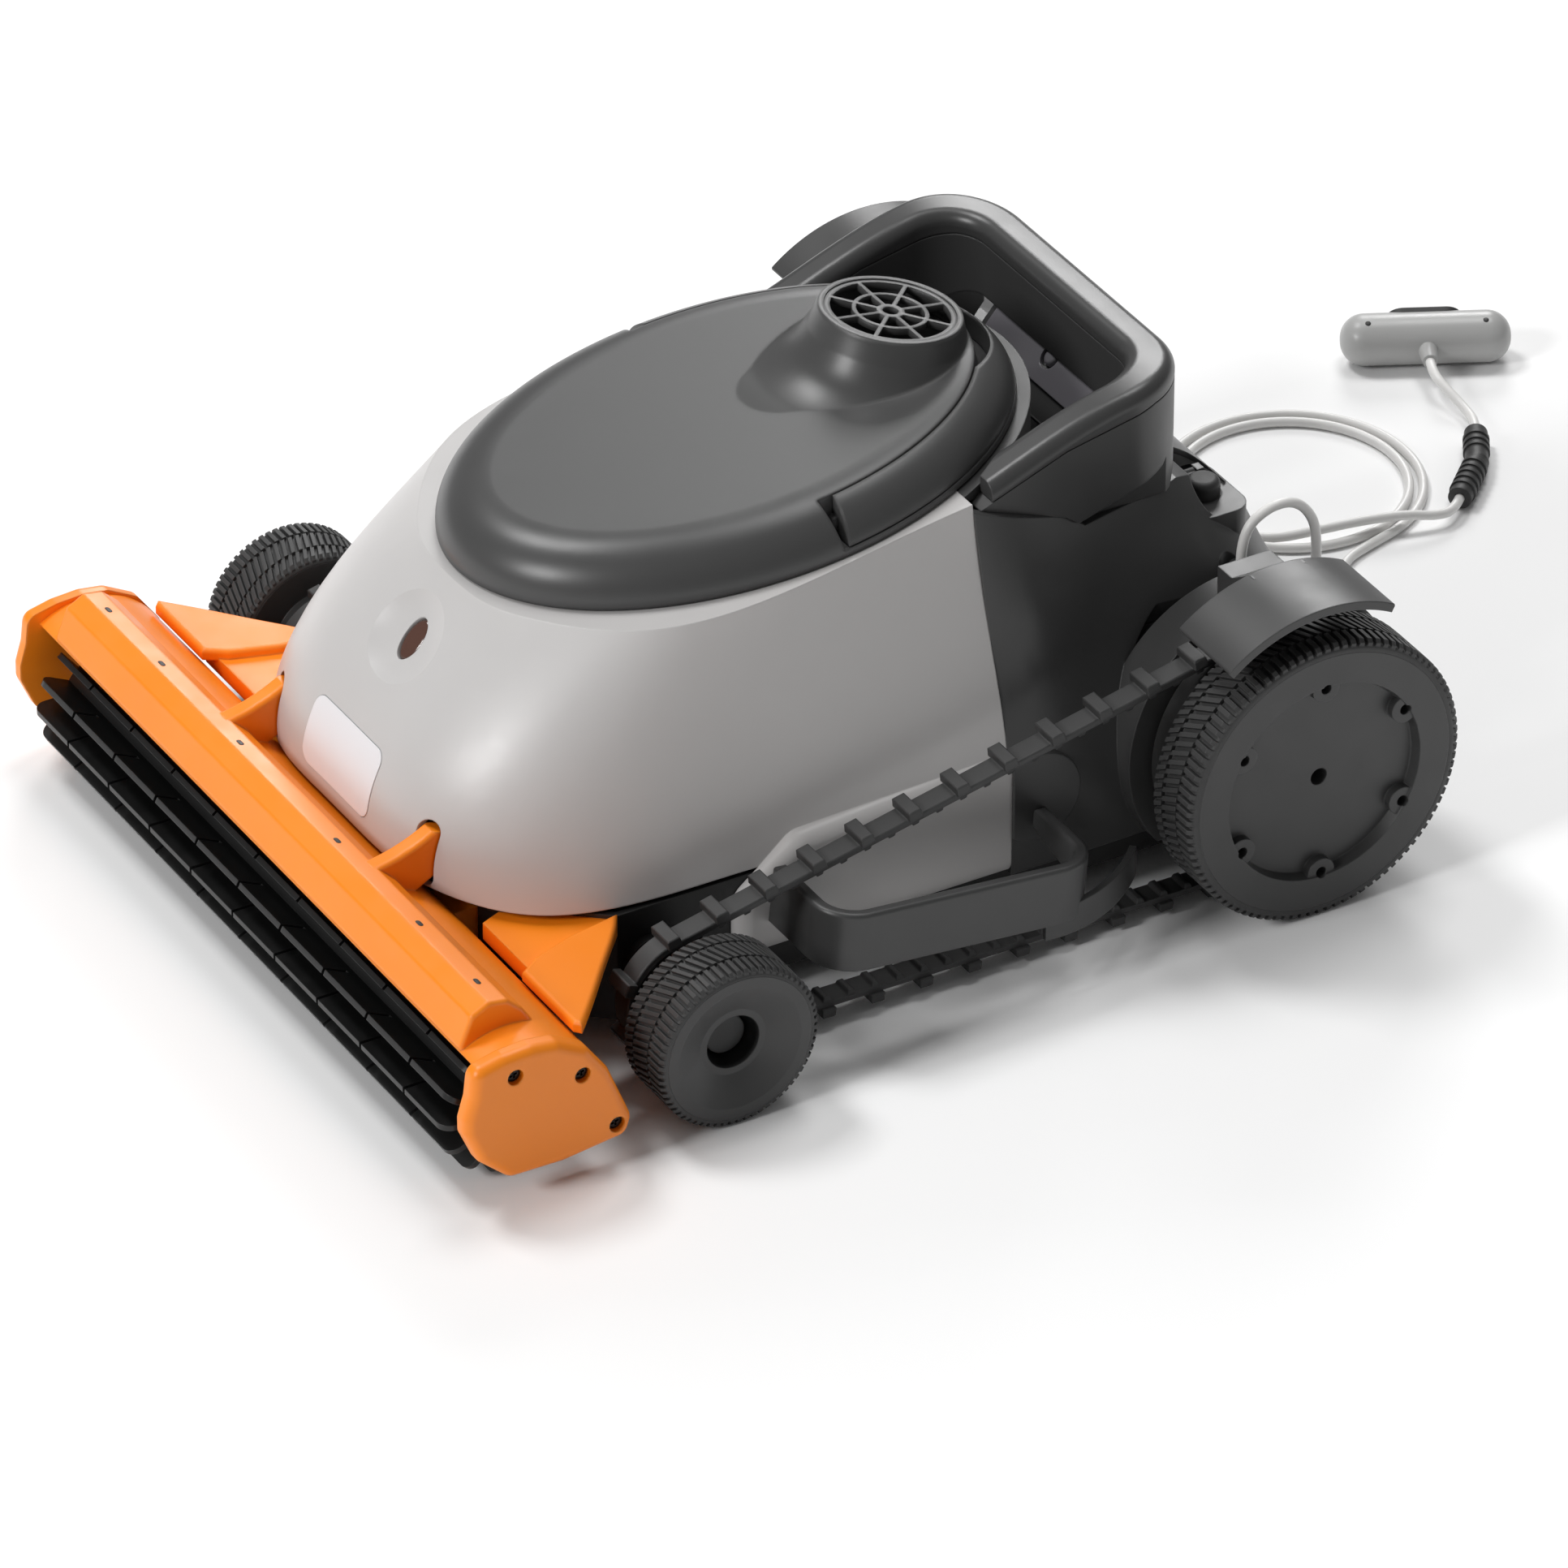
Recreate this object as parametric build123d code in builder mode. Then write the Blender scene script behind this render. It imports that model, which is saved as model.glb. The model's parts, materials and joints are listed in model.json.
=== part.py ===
from build123d import *
import os
from math import asin, atan2, cos, degrees, pi, radians, sin, sqrt, tan

os.makedirs("parts", exist_ok=True)

# All sizes are in millimetres. Front is -Y, the floor is z = 0, x = 0 is the middle.

# Fits
run_gap = 0.06
seat_gap = 0.3
lift_gap = 1.5

# Wheels and axles
wheelbase = 290.0
front_axle_y = -114.5
rear_axle_y = front_axle_y + wheelbase
front_wheel_r = 38.0
rear_wheel_r = 67.5
front_tyre_t = 4.0
rear_tyre_t = 5.5
front_wheel_w = 32.0
rear_wheel_w = 30.0
front_face_x = 200.0
rear_face_x = 189.0
tyre_gap = 0.05
tyre_round = 1.8
axle_r = 6.0
front_dish_depth = 6.0
front_dish_r = 28.0
front_cone_r = 12.5
front_cone_depth = 16.0
rear_dish_depth = 5.0
rear_dish_r = 46.0
rear_boss_r = 6.5
rear_boss_hole_r = 2.5
rear_boss_hole_depth = 9.0
rear_boss_count = 6
rear_centre_hole_r = 4.0
hub_neck_r = 20.0

# Drive belt
belt_x = 150.0
belt_w = 11.0
lug_w = 15.0
belt_front_r = 25.3
belt_rear_r = 58.3
belt_t = 3.0
lug_h = 4.0
lug_len = 6.5
lug_pitch = 23.5
tooth_h = 2.0
tooth_len = 4.0
drum_gap = 0.3
drum_w = 18.0

# Chassis tub
tub_half_w = 123.0
tub_front_y = -166.0
tub_rear_y = rear_axle_y + 29.5
tub_bottom_z = 12.0
tub_top_z = 64.0
tub_wall = 3.0
tub_nose_x = 92.0
tub_nose_gap = 2.5
rim_flange_t = 4.0
tower_t = 6.0
tower_half_y = 25.0
tower_top_z = 96.0
bush_r = 8.0
bush_flange_r = 10.0
bush_flange_t = 2.0
mouth_y = -94.0
mouth_w = 60.0
mouth_d = 22.0
pin_flange_r = 12.0
pin_flange_t = 4.0
pin_head_r = 9.0
pin_head_t = 3.0

# Front shell
seam_y = 57.5
shell_wall = 3.0
shell_foot_z = 66.0
shell_waist_z = 94.0
pod_x = 130.0
pod_front_y = -75.0
pod_bottom_z = 26.0
pod_top_z = 84.0
pod_round = 12.0
pod_inner_x = 110.0
pod_edge = 7.0
pod_nose_y = -46.0
pod_nose_z = 56.0

# Lid
lid_y = -5.5
lid_z = 184.5
lid_tilt = 7.02
lid_rx = 95.0
lid_ry = 131.0
lid_h = 22.0
lid_lean = 4.0
lid_edge_in = 26.0
lid_steps = 5
lid_wall = 3.0
lid_flange_t = 3.0
lid_flange_w = 16.0
gasket_t = 0.7
rim_drop = 1.0
rim_t = 3.0
rim_out = 5.0
opening_in = 7.0
gasket_in = 3.0
gasket_w = 3.0

# Lifting bail
bail_w = 13.5
island_rx = lid_rx - bail_w
island_ry = lid_ry - bail_w
island_lean = 4.6
island_h = 34.0
bail_gap = 0.8
bail_front_v = 4.7
bail_front_slope = 3.0
lid_end_v = 2.2
bail_pin_v = 6.0
bail_pin_w = 9.0
bail_pin_r = 3.0
bail_pin_in = 5.0

# Outlet and pump
outlet_y = 74.0
outlet_z = 231.5
outlet_tilt = 9.0
outlet_top_r = 31.0
outlet_foot_r = 40.0
outlet_h = 26.0
flare_r = 72.0
flare_h = 36.8
grille_r = 28.3
grille_gap = 0.2
grille_t = 3.5
duct_r = 27.0
duct_wall = 3.0
duct_bottom_z = 160.0
spoke_count = 8
spoke_w = 1.8
grille_rim = 2.4
grille_mid_r = 16.5
grille_hub_r = 6.0
pump_r = 26.0
pump_top_z = 150.0
pump_shaft_r = 4.0
pump_shaft_top_z = 181.0
impeller_r = 24.0
impeller_z = 164.0
impeller_h = 16.0
impeller_hub_r = 8.0
impeller_blades = 5

# Filter basket
basket_w = 130.0
basket_front_y = -120.0
basket_rear_y = 20.0
basket_round = 60.0
basket_wall = 2.5
basket_floor_z = 66.0
basket_flange_t = 3.0
window_w = 24.0
window_h = 62.0
window_z = 78.0
window_pitch = 30.0
mesh_t = 0.8
mesh_top_z = 158.0
flap_t = 2.0
flap_lap = 1.5
flap_barrel_r = 2.6
flap_pin_r = 1.5
flap_pin_len = 4.0
flap_gap = 0.4

# Brush and its housing
brush_floor_gap = 0.6
brush_tip_r = 32.0
brush_z = brush_tip_r + brush_floor_gap
hood_half = 195.0
brush_end_gap = 11.0
brush_half = hood_half - brush_end_gap
brush_sleeve_r = 16.0
core_r = 14.0
core_bore_r = 12.4
core_end_t = 8.0
sleeve_gap = 0.05
blade_t = 2.6
blade_count = 14
blade_end_round = 6.0
slit_pitch = 37.5
slit_w = 1.8
slit_depth = 12.0
stub_r = 6.0
stub_in = 4.5
motor_r = 11.0
motor_len = 106.0
motor_side_gap = 2.0
drive_r = 5.0
drive_len = 7.0
hood_wall = 3.0
hood_room = 4.5
hood_r = brush_tip_r + hood_room + hood_wall
hood_tub_gap = 7.5
brush_y = tub_front_y - hood_tub_gap - hood_r
hood_front_angle = 123.0
hood_rear_angle = -15.0
ridge_half = hood_half - 15.0
ridge_h = hood_r + 13.4
ridge_end_round = 1.8
cap_t = 8.0
cap_corner = 6.0
cap_round = 4.5
fin_x = 65.0
fin_w = 9.0
notch_gap = 1.0
notch_len = 30.0
notch_drop = 4.0
fin_edge = 2.0
lug_x = 60.0
lug_block_w = 20.0
screw_r = 3.4
screw_head_h = 2.2
screw_sink = 4.4
screw_shank_r = 1.6
screw_shank_l = 3.2
under_sink = 1.8
under_head_h = 1.6
wing_t = 5.0
wing_top_z = tub_top_z + 2.0
wing_z = wing_top_z - wing_t
wing_gap = 1.5
wing_front_y = brush_y + sqrt(hood_r**2 - (wing_z - brush_z) ** 2) + wing_gap
wing_web_t = 8.0
wing_web_z = wing_z + 1.0 - wing_web_t
wing_web_y = brush_y + sqrt(hood_r**2 - (wing_web_z - brush_z) ** 2) + wing_gap
wing_round = 2.0

# Rear shell, handle and console
rump_y = rear_axle_y + 52.5
arch_r = 66.0
arch_in_x = 116.0
arch_out_x = 139.0
boss_y = 69.0
boss_z = 62.5
boss_r = 21.0
boss_x = 132.0
handle_half = lid_rx
handle_arm_t = 19.0
handle_edge = 6.0
trim_seam = 0.6
arm_scoop_in = 7.0
handle_in_half = handle_half - handle_arm_t
handle_behind_lid = 27.5
handle_in_y = lid_y + lid_ry + handle_behind_lid
handle_bar_t = 20.0
handle_rear_y = handle_in_y + handle_bar_t
handle_round = 38.0
handle_in_round = 22.0
handle_cap_t = 8.0
handle_low_z = 188.0
handle_heel_y = seam_y + 46.5
handle_heel_z = 170.0
handle_top_z = 222.0
rump_top_z = 162.5
handle_lid_gap = 0.4
panel_w = 90.0
panel_h = 16.0
panel_t = 2.0
panel_y = handle_in_y - 1.5
panel_z = 179.5
panel_slope = 49.2
console_half = 50.0
notch_w = 11.0
notch_h = 7.0
button_r = 4.0
button_gap = 0.3
button_out = 2.4
button_in = 5.0
button_room = 2.0
port_x = 70.0
port_y = rear_axle_y + 11.5
port_floor_z = 143.0
port_room_x = 38.0
port_room_shift = -2.0
port_room_y = 24.0
socket_r = 8.0
socket_len = 18.0
socket_bore_r = 5.0
socket_bore_len = 14.0
port_cap_r = 7.5
port_cap_h = 8.0
port_hinge_out = 13.5
port_hinge_up = 2.4
port_barrel_r = 2.0
port_barrel_w = 7.0
port_pin_r = 1.2
port_pin_len = 2.5
port_ear_w = 3.5
port_ear_gap = 0.5
gland_x = 106.0
gland_y = rear_axle_y + 8.5
gland_foot_z = 118.0
gland_foot_r = 7.0
gland_foot_h = 6.0
gland_top_r = 5.2
gland_top_z = 128.0

# Fender and side guard
fender_y = rear_axle_y - 2.8
fender_z = 82.4
fender_r = 73.0
fender_t = 4.0
fender_in_x = 150.0
fender_out_x = 190.0
fender_front_angle = 130.3
fender_rear_angle = 61.5
fender_foot_x = 126.0
guard_x = 177.0
guard_front_y = -58.0
guard_rear_y = 68.0
guard_t = 6.0
guard_h = 27.0
guard_mid_z = 50.0
guard_mid_y = 5.0
guard_slope = 5.4
guard_round = 16.0
guard_edge = 2.0
guard_bar = 11.0
strip_t = 3.0
strip_h = 10.0
strip_z = 24.0

# Light, label and boxes inside
lens_y = -159.7
lens_z = 143.7
lens_slope = 49.0
lens_rx = 6.0
lens_ry = 10.0
lens_t = 7.0
lens_gap = 0.2
dimple_r = 22.0
dimple_depth = 4.5
front_slope = 59.0
label_up = 21.9
label_z = brush_z + hood_r + label_up
label_y = -191.0 + (label_z - shell_waist_z) * 0.58
label_w = 57.0
label_h = 31.0
label_t = 1.2
label_proud = 0.25
label_gap = 0.15
label_round = 6.0
battery_w = 80.0
battery_l = 90.0
battery_h = 45.0
battery_y = rear_axle_y - 20.5
control_w = 110.0
control_l = 90.0
control_h = 40.0
control_y = -25.0
drive_motor_r = 22.0
drive_motor_l = 65.0
drive_shaft_in = 16.0

# Float cable
cord_r = 2.25
coil_x = -108.0
coil_y = 346.0
coil_r = 60.0
coil_start = 15.0
coil_step = 1.6
coil_quarters = 7
connector_r = 5.4
connector_rib = 0.7
float_x = -170.5
float_y = 458.0
float_r = 12.0
float_len = 78.0
float_turn = 63.4
relief_r = 4.2
relief_len = 9.0
pad_len = 34.0
pad_w = 15.0
pad_t = 1.4
pad_lean = 62.0

front_axle_z = front_wheel_r
rear_axle_z = rear_wheel_r
lid_slope = radians(lid_tilt)
lid_plane = Plane(origin=(0, lid_y, lid_z), x_dir=(1, 0, 0), z_dir=(0, -sin(lid_slope), cos(lid_slope)))
rim_plane = lid_plane.offset(-rim_drop)
lid_side_plane = Plane(origin=lid_plane.origin, x_dir=lid_plane.y_dir, z_dir=(1, 0, 0))
seam_v = (seam_y - lid_y) / cos(lid_slope)
outlet_lean = radians(outlet_tilt)
grille_plane = Plane(
    origin=(0, outlet_y, outlet_z), x_dir=(1, 0, 0), z_dir=(0, sin(outlet_lean), cos(outlet_lean))
)
face_lean = radians(front_slope)
lens_lean = radians(lens_slope)
lens_plane = Plane(
    origin=(0, lens_y, lens_z), x_dir=(1, 0, 0), z_dir=(0, -sin(lens_lean), cos(lens_lean))
)
label_plane = Plane(
    origin=(0, label_y, label_z), x_dir=(1, 0, 0), z_dir=(0, -sin(face_lean), cos(face_lean))
)
panel_lean = radians(panel_slope)
panel_plane = Plane(
    origin=(0, panel_y, panel_z), x_dir=(1, 0, 0), z_dir=(0, -sin(panel_lean), cos(panel_lean))
)
flare_plane = Plane(
    origin=grille_plane.origin, x_dir=(1, 0, 0), z_dir=(0, -cos(outlet_lean), sin(outlet_lean))
)
outlet_axis = Axis(grille_plane.origin, grille_plane.z_dir)
dimple_ball = (dimple_r**2 + dimple_depth**2) / (2 * dimple_depth)
lens_seat = dimple_depth + lens_t
tub_nose_y = front_axle_y - pin_flange_r - tub_nose_gap
brush_axis = Axis((0, brush_y, brush_z), (1, 0, 0))
front_axis = Axis((0, front_axle_y, front_axle_z), (1, 0, 0))
rear_axis = Axis((0, rear_axle_y, rear_axle_z), (1, 0, 0))
sides = {"left": -1, "right": 1}


def side_plane(x, y=0.0, z=0.0):
    """A plane square to X, with local x along Y and local y along Z."""
    return Plane(origin=(x, y, z), x_dir=(0, 1, 0), z_dir=(1, 0, 0))


def axle_plane(y, z):
    """A plane through an axle, with local x along X and local y along Z."""
    return Plane(origin=(0, y, z), x_dir=(1, 0, 0), z_dir=(0, -1, 0))


def outline(points):
    """A filled outline through straight runs, in the sketch that is open."""
    Polygon(*points, align=None)


def shell_level(plane, v, rear_w, side, corner, nose, front, inset):
    """One level of the front shell, closed by a straight edge at the seam."""
    with BuildSketch(plane) as level:
        with BuildLine():
            right = Spline(
                (rear_w - inset, v),
                (side[0] - inset, side[1]),
                (corner[0] - inset, corner[1] + inset / 2),
                (nose[0] - inset / 2, nose[1] + inset),
                (0, front + inset),
                tangents=((0, -1), (-1, 0)),
            )
            mirror(right, about=Plane.YZ)
            Line((rear_w - inset, v), (-rear_w + inset, v))
        make_face()
    return level.sketch


def front_form(inset, top_drop):
    """Sketches from foot to rim, ready to be lofted. The hollow runs past the seam."""
    back = seam_y + inset
    back_v = seam_v + inset
    foot = Plane.XY.offset(shell_foot_z)
    waist = Plane.XY.offset(shell_waist_z)
    chest = Plane.XY.offset(130.0)
    brow = lid_plane.offset(-top_drop)
    return [
        shell_level(foot, back, 128.0, (123.0, -75.0), (104.0, -165.0), (58.0, -190.5), -194.0, inset),
        shell_level(waist, back, 123.5, (118.0, -70.0), (99.0, -159.0), (56.0, -188.5), -192.5, inset),
        shell_level(chest, back, 112.0, (109.5, -60.0), (91.0, -139.0), (50.0, -167.5), -171.5, inset),
        shell_level(brow, back_v, lid_rx + 0.5, (lid_rx + 4.5, -25.0), (lid_rx - 9.5, -90.0), (46.0, -124.5),
            -lid_ry - 4.0, inset),
    ]


def rump_level(y, foot, hip, side, shoulder, top, inset):
    """One upright section of the rear shell."""
    with BuildSketch(axle_plane(y, 0)) as level:
        with BuildLine():
            right = Spline(
                (foot[0] - inset, foot[1]),
                (hip[0] - inset, hip[1]),
                (side[0] - inset, side[1] - inset / 2),
                (shoulder[0] - inset, shoulder[1] - inset),
                (top[0] - inset, top[1] - inset),
                tangents=((0, 1), (top[0] - shoulder[0], top[1] - shoulder[1])),
            )
            mirror(right, about=Plane.YZ)
            Line((top[0] - inset, top[1] - inset), (-top[0] + inset, top[1] - inset))
            Line((foot[0] - inset, foot[1]), (-foot[0] + inset, foot[1]))
        make_face()
    return level.sketch


def rump_form(inset, shift):
    """Upright sections from the seam to the tail, ready to be lofted."""
    floor = pod_bottom_z
    return [
        rump_level(seam_y, (130, floor), (129.5, 72), (122, 98), (112, 129), (lid_rx + 0.5, 192), inset),
        rump_level(handle_heel_y + 6.0, (130, floor), (129, 72), (120, 98), (108, 128), (lid_rx - 3, 170), inset),
        rump_level(handle_in_y - 1.0, (129, floor), (127, 72), (116, 98), (104, 125), (84, 165), inset),
        rump_level(rear_axle_y + 14.5, (127, floor), (123, 70), (111, 96), (98, 122), (72, 152), inset),
        rump_level(rear_axle_y + 35.5, (122, floor), (116, 64), (103, 88), (88, 108), (60, 130), inset),
        rump_level(rump_y - shift, (106, floor), (101, 55), (90, 74), (75, 88), (48, 100), inset),
    ]


def ellipse_pair(plane, rx, ry, lean, height):
    """The foot and the top of a leaning elliptical block on a plane."""
    with BuildSketch(plane) as low:
        Ellipse(rx, ry)
    with BuildSketch(plane.offset(height)) as high:
        Ellipse(rx - lean, ry - lean)
    return [low.sketch, high.sketch]


def lid_levels():
    """Levels of the lid's round edge, from its foot to its top."""
    levels = []
    for step in range(lid_steps + 1):
        turn = radians(90.0 * step / lid_steps)
        height = lid_h * sin(turn)
        lean = lid_edge_in * (1 - cos(turn))
        with BuildSketch(lid_plane.offset(height)) as level:
            Ellipse(lid_rx - lean, lid_ry - lean)
        levels.append(level.sketch)
    return levels


def belt_points(r_front, r_rear):
    """Tangent points of a belt of the given radii, in (y, z)."""
    rise = rear_axle_z - front_axle_z
    span = sqrt(wheelbase**2 + rise**2)
    heading = atan2(rise, wheelbase)
    swing = asin((r_rear - r_front) / span)
    upper = heading + swing + pi / 2
    lower = heading - swing - pi / 2
    points = []
    for radius, y, z in ((r_front, front_axle_y, front_axle_z), (r_rear, rear_axle_y, rear_axle_z)):
        points.append((y + radius * cos(upper), z + radius * sin(upper)))
        points.append((y + radius * cos(lower), z + radius * sin(lower)))
        away = heading if radius == r_rear else heading + pi
        points.append((y + radius * cos(away), z + radius * sin(away)))
    return points


def belt_lines(r_front, r_rear):
    """The closed line of a belt, in the line builder that is open."""
    front_up, front_low, front_mid, rear_up, rear_low, rear_mid = belt_points(r_front, r_rear)
    Line(front_up, rear_up)
    ThreePointArc(rear_up, rear_mid, rear_low)
    Line(rear_low, front_low)
    ThreePointArc(front_low, front_mid, front_up)


# Chassis
tub_plan = (
    (-tub_half_w, tub_rear_y),
    (-tub_half_w, tub_nose_y),
    (-tub_nose_x, tub_front_y),
    (tub_nose_x, tub_front_y),
    (tub_half_w, tub_nose_y),
    (tub_half_w, tub_rear_y),
)
screw_spots = (
    (90.0, -146.0),
    (-90.0, -146.0),
    (100.0, 40.0),
    (-100.0, 40.0),
    (95.0, rear_axle_y + 9.5),
    (-95.0, rear_axle_y + 9.5),
)
with BuildPart() as chassis_base:
    with BuildSketch(Plane.XY.offset(tub_bottom_z)):
        outline(tub_plan)
        fillet(vertices(Select.LAST).group_by(Axis.Y)[-1], radius=12.0)
    extrude(amount=tub_top_z - tub_bottom_z)
    with BuildSketch(Plane.XY.offset(tub_bottom_z + tub_wall)):
        outline(tub_plan)
        fillet(vertices(Select.LAST).group_by(Axis.Y)[-1], radius=12.0)
        offset(amount=-tub_wall, mode=Mode.REPLACE)
    extrude(amount=tub_top_z, mode=Mode.SUBTRACT)
    with BuildSketch(Plane.XY.offset(tub_top_z - rim_flange_t + 2.0)):
        with BuildLine():
            flange_right = Spline(
                (122.6, seam_y),
                (118.5, -75.0),
                (104.0, -150.0),
                (90.0, -172.0),
                tangents=((0, -1), (-0.7, -0.7)),
            )
            mirror(flange_right, about=Plane.YZ)
            Line((122.6, seam_y), (-122.6, seam_y))
            Line((90.0, -172.0), (-90.0, -172.0))
        make_face()
        with Locations((0, -50.0)):
            RectangleRounded(216.0, 220.0, 20.0, mode=Mode.SUBTRACT)
    extrude(amount=rim_flange_t)
    with Locations((0, mouth_y, (tub_bottom_z + tub_top_z) / 2)):
        Box(mouth_w + 2 * tub_wall, mouth_d + 2 * tub_wall, tub_top_z - tub_bottom_z)
    for sign in sides.values():
        with BuildSketch(side_plane(sign * tub_half_w)):
            with Locations((rear_axle_y, (tub_bottom_z + tower_top_z) / 2)):
                RectangleRounded(2 * tower_half_y, tower_top_z - tub_bottom_z, 6.0)
        extrude(amount=-sign * tower_t)
    with Locations((0, mouth_y, (tub_bottom_z + tub_top_z) / 2)):
        Box(mouth_w, mouth_d, 2 * tub_top_z, mode=Mode.SUBTRACT)
    with BuildSketch(side_plane(-tub_half_w - 1)):
        with Locations((rear_axle_y, rear_axle_z)):
            Circle(bush_r)
    extrude(amount=2 * tub_half_w + 2, mode=Mode.SUBTRACT)
    with BuildSketch(side_plane(-tub_half_w - 20)):
        with Locations((brush_y, brush_z)):
            Circle(hood_r + 2.0)
    extrude(amount=2 * tub_half_w + 40, mode=Mode.SUBTRACT)
    with BuildSketch(Plane.XY.offset(tub_bottom_z)):
        with Locations(*screw_spots):
            Circle(screw_r + seat_gap)
    extrude(amount=under_sink, mode=Mode.SUBTRACT)
chassis_base.part.label = "chassis_base"
export_step(chassis_base.part, "parts/chassis_base.step")

# Front shell
with BuildPart() as label_pocket:
    loft(sections=front_form(-2.0, rim_drop))
    loft(sections=front_form(label_t + tyre_gap, rim_drop + label_t), mode=Mode.SUBTRACT)
    with BuildSketch(label_plane.offset(-10.0)):
        RectangleRounded(label_w + 2 * label_gap, label_h + 2 * label_gap, label_round + label_gap)
    extrude(amount=30.0, mode=Mode.INTERSECT)

with BuildPart() as pod_form:
    with BuildSketch(side_plane(pod_inner_x)):
        with BuildLine():
            FilletPolyline(
                (seam_y, pod_bottom_z),
                (pod_front_y, pod_bottom_z),
                (pod_front_y, pod_nose_z),
                (pod_nose_y, pod_top_z - 5.5),
                (seam_y, pod_top_z + 2.0),
                radius=pod_round,
            )
            Line((seam_y, pod_top_z + 2.0), (seam_y, pod_bottom_z))
        make_face()
    extrude(amount=pod_x - pod_inner_x)
    pod_face = pod_form.faces().sort_by(Axis.X)[-1]
    fillet(pod_face.edges().filter_by(lambda edge: edge.center().Y < seam_y - 1.0), radius=pod_edge)
    mirror(about=Plane.YZ)

with BuildPart() as lens_pad:
    loft(sections=front_form(0.3, rim_drop))
    with BuildSketch(lens_plane.offset(-lens_seat - shell_wall)):
        Circle(dimple_r + 1.5)
    extrude(amount=60.0, mode=Mode.INTERSECT)

with BuildPart() as front_shell:
    loft(sections=front_form(0.0, rim_drop))
    loft(sections=front_form(shell_wall, rim_drop + rim_t), mode=Mode.SUBTRACT)
    add(pod_form.part)
    loft(sections=front_form(shell_wall, rim_drop + rim_t), mode=Mode.SUBTRACT)
    with Locations((0, seam_y - 100.0, shell_foot_z - 50.0)):
        Box(2 * (tub_half_w + seat_gap), 300.0, 100.0, mode=Mode.SUBTRACT)
    split(bisect_by=Plane(origin=(0, seam_y, 0), x_dir=(1, 0, 0), z_dir=(0, -1, 0)), keep=Keep.TOP)
    with BuildSketch(rim_plane.offset(5.0)):
        Ellipse(lid_rx - opening_in, lid_ry - opening_in)
    extrude(amount=-20.0, mode=Mode.SUBTRACT)
    with BuildSketch(side_plane(-pod_x)):
        with Locations((brush_y, brush_z)):
            Circle(hood_r + 1.5)
    extrude(amount=2 * pod_x, mode=Mode.SUBTRACT)
    with BuildSketch(Plane(origin=(0, -150.0, 0), x_dir=(1, 0, 0), z_dir=(0, -1, 0))):
        notch_z = brush_z + ridge_h - notch_drop
        with Locations((fin_x, notch_z), (-fin_x, notch_z)):
            SlotOverall(notch_len, fin_w + 2 * notch_gap, rotation=90)
    extrude(amount=60.0, mode=Mode.SUBTRACT)
    add(label_pocket.part, mode=Mode.SUBTRACT)
    add(lens_pad.part)
    with Locations(lens_plane.origin + lens_plane.z_dir * (dimple_ball - dimple_depth)):
        Sphere(radius=dimple_ball, mode=Mode.SUBTRACT)
    with BuildSketch(lens_plane.offset(-lens_seat)):
        Ellipse(lens_rx + lens_gap, lens_ry + lens_gap)
    extrude(amount=40.0, mode=Mode.SUBTRACT)
front_shell.part.label = "front_shell"
export_step(front_shell.part, "parts/front_shell.step")

# Light and label
with BuildPart() as light_lens:
    with BuildSketch(lens_plane.offset(-lens_seat)):
        Ellipse(lens_rx, lens_ry)
    extrude(amount=lens_t)
    fillet(light_lens.faces().sort_by(Axis(lens_plane.origin, lens_plane.z_dir))[-1].edges(), radius=1.5)
light_lens.part.label = "light_lens"
export_step(light_lens.part, "parts/light_lens.step")

with BuildPart() as label_plate:
    loft(sections=front_form(-label_proud, rim_drop))
    loft(sections=front_form(label_t, rim_drop + label_t), mode=Mode.SUBTRACT)
    with BuildSketch(label_plane.offset(-10.0)):
        RectangleRounded(label_w, label_h, label_round)
    extrude(amount=30.0, mode=Mode.INTERSECT)
label_plate.part.label = "label_plate"
export_step(label_plate.part, "parts/label_plate.step")

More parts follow.
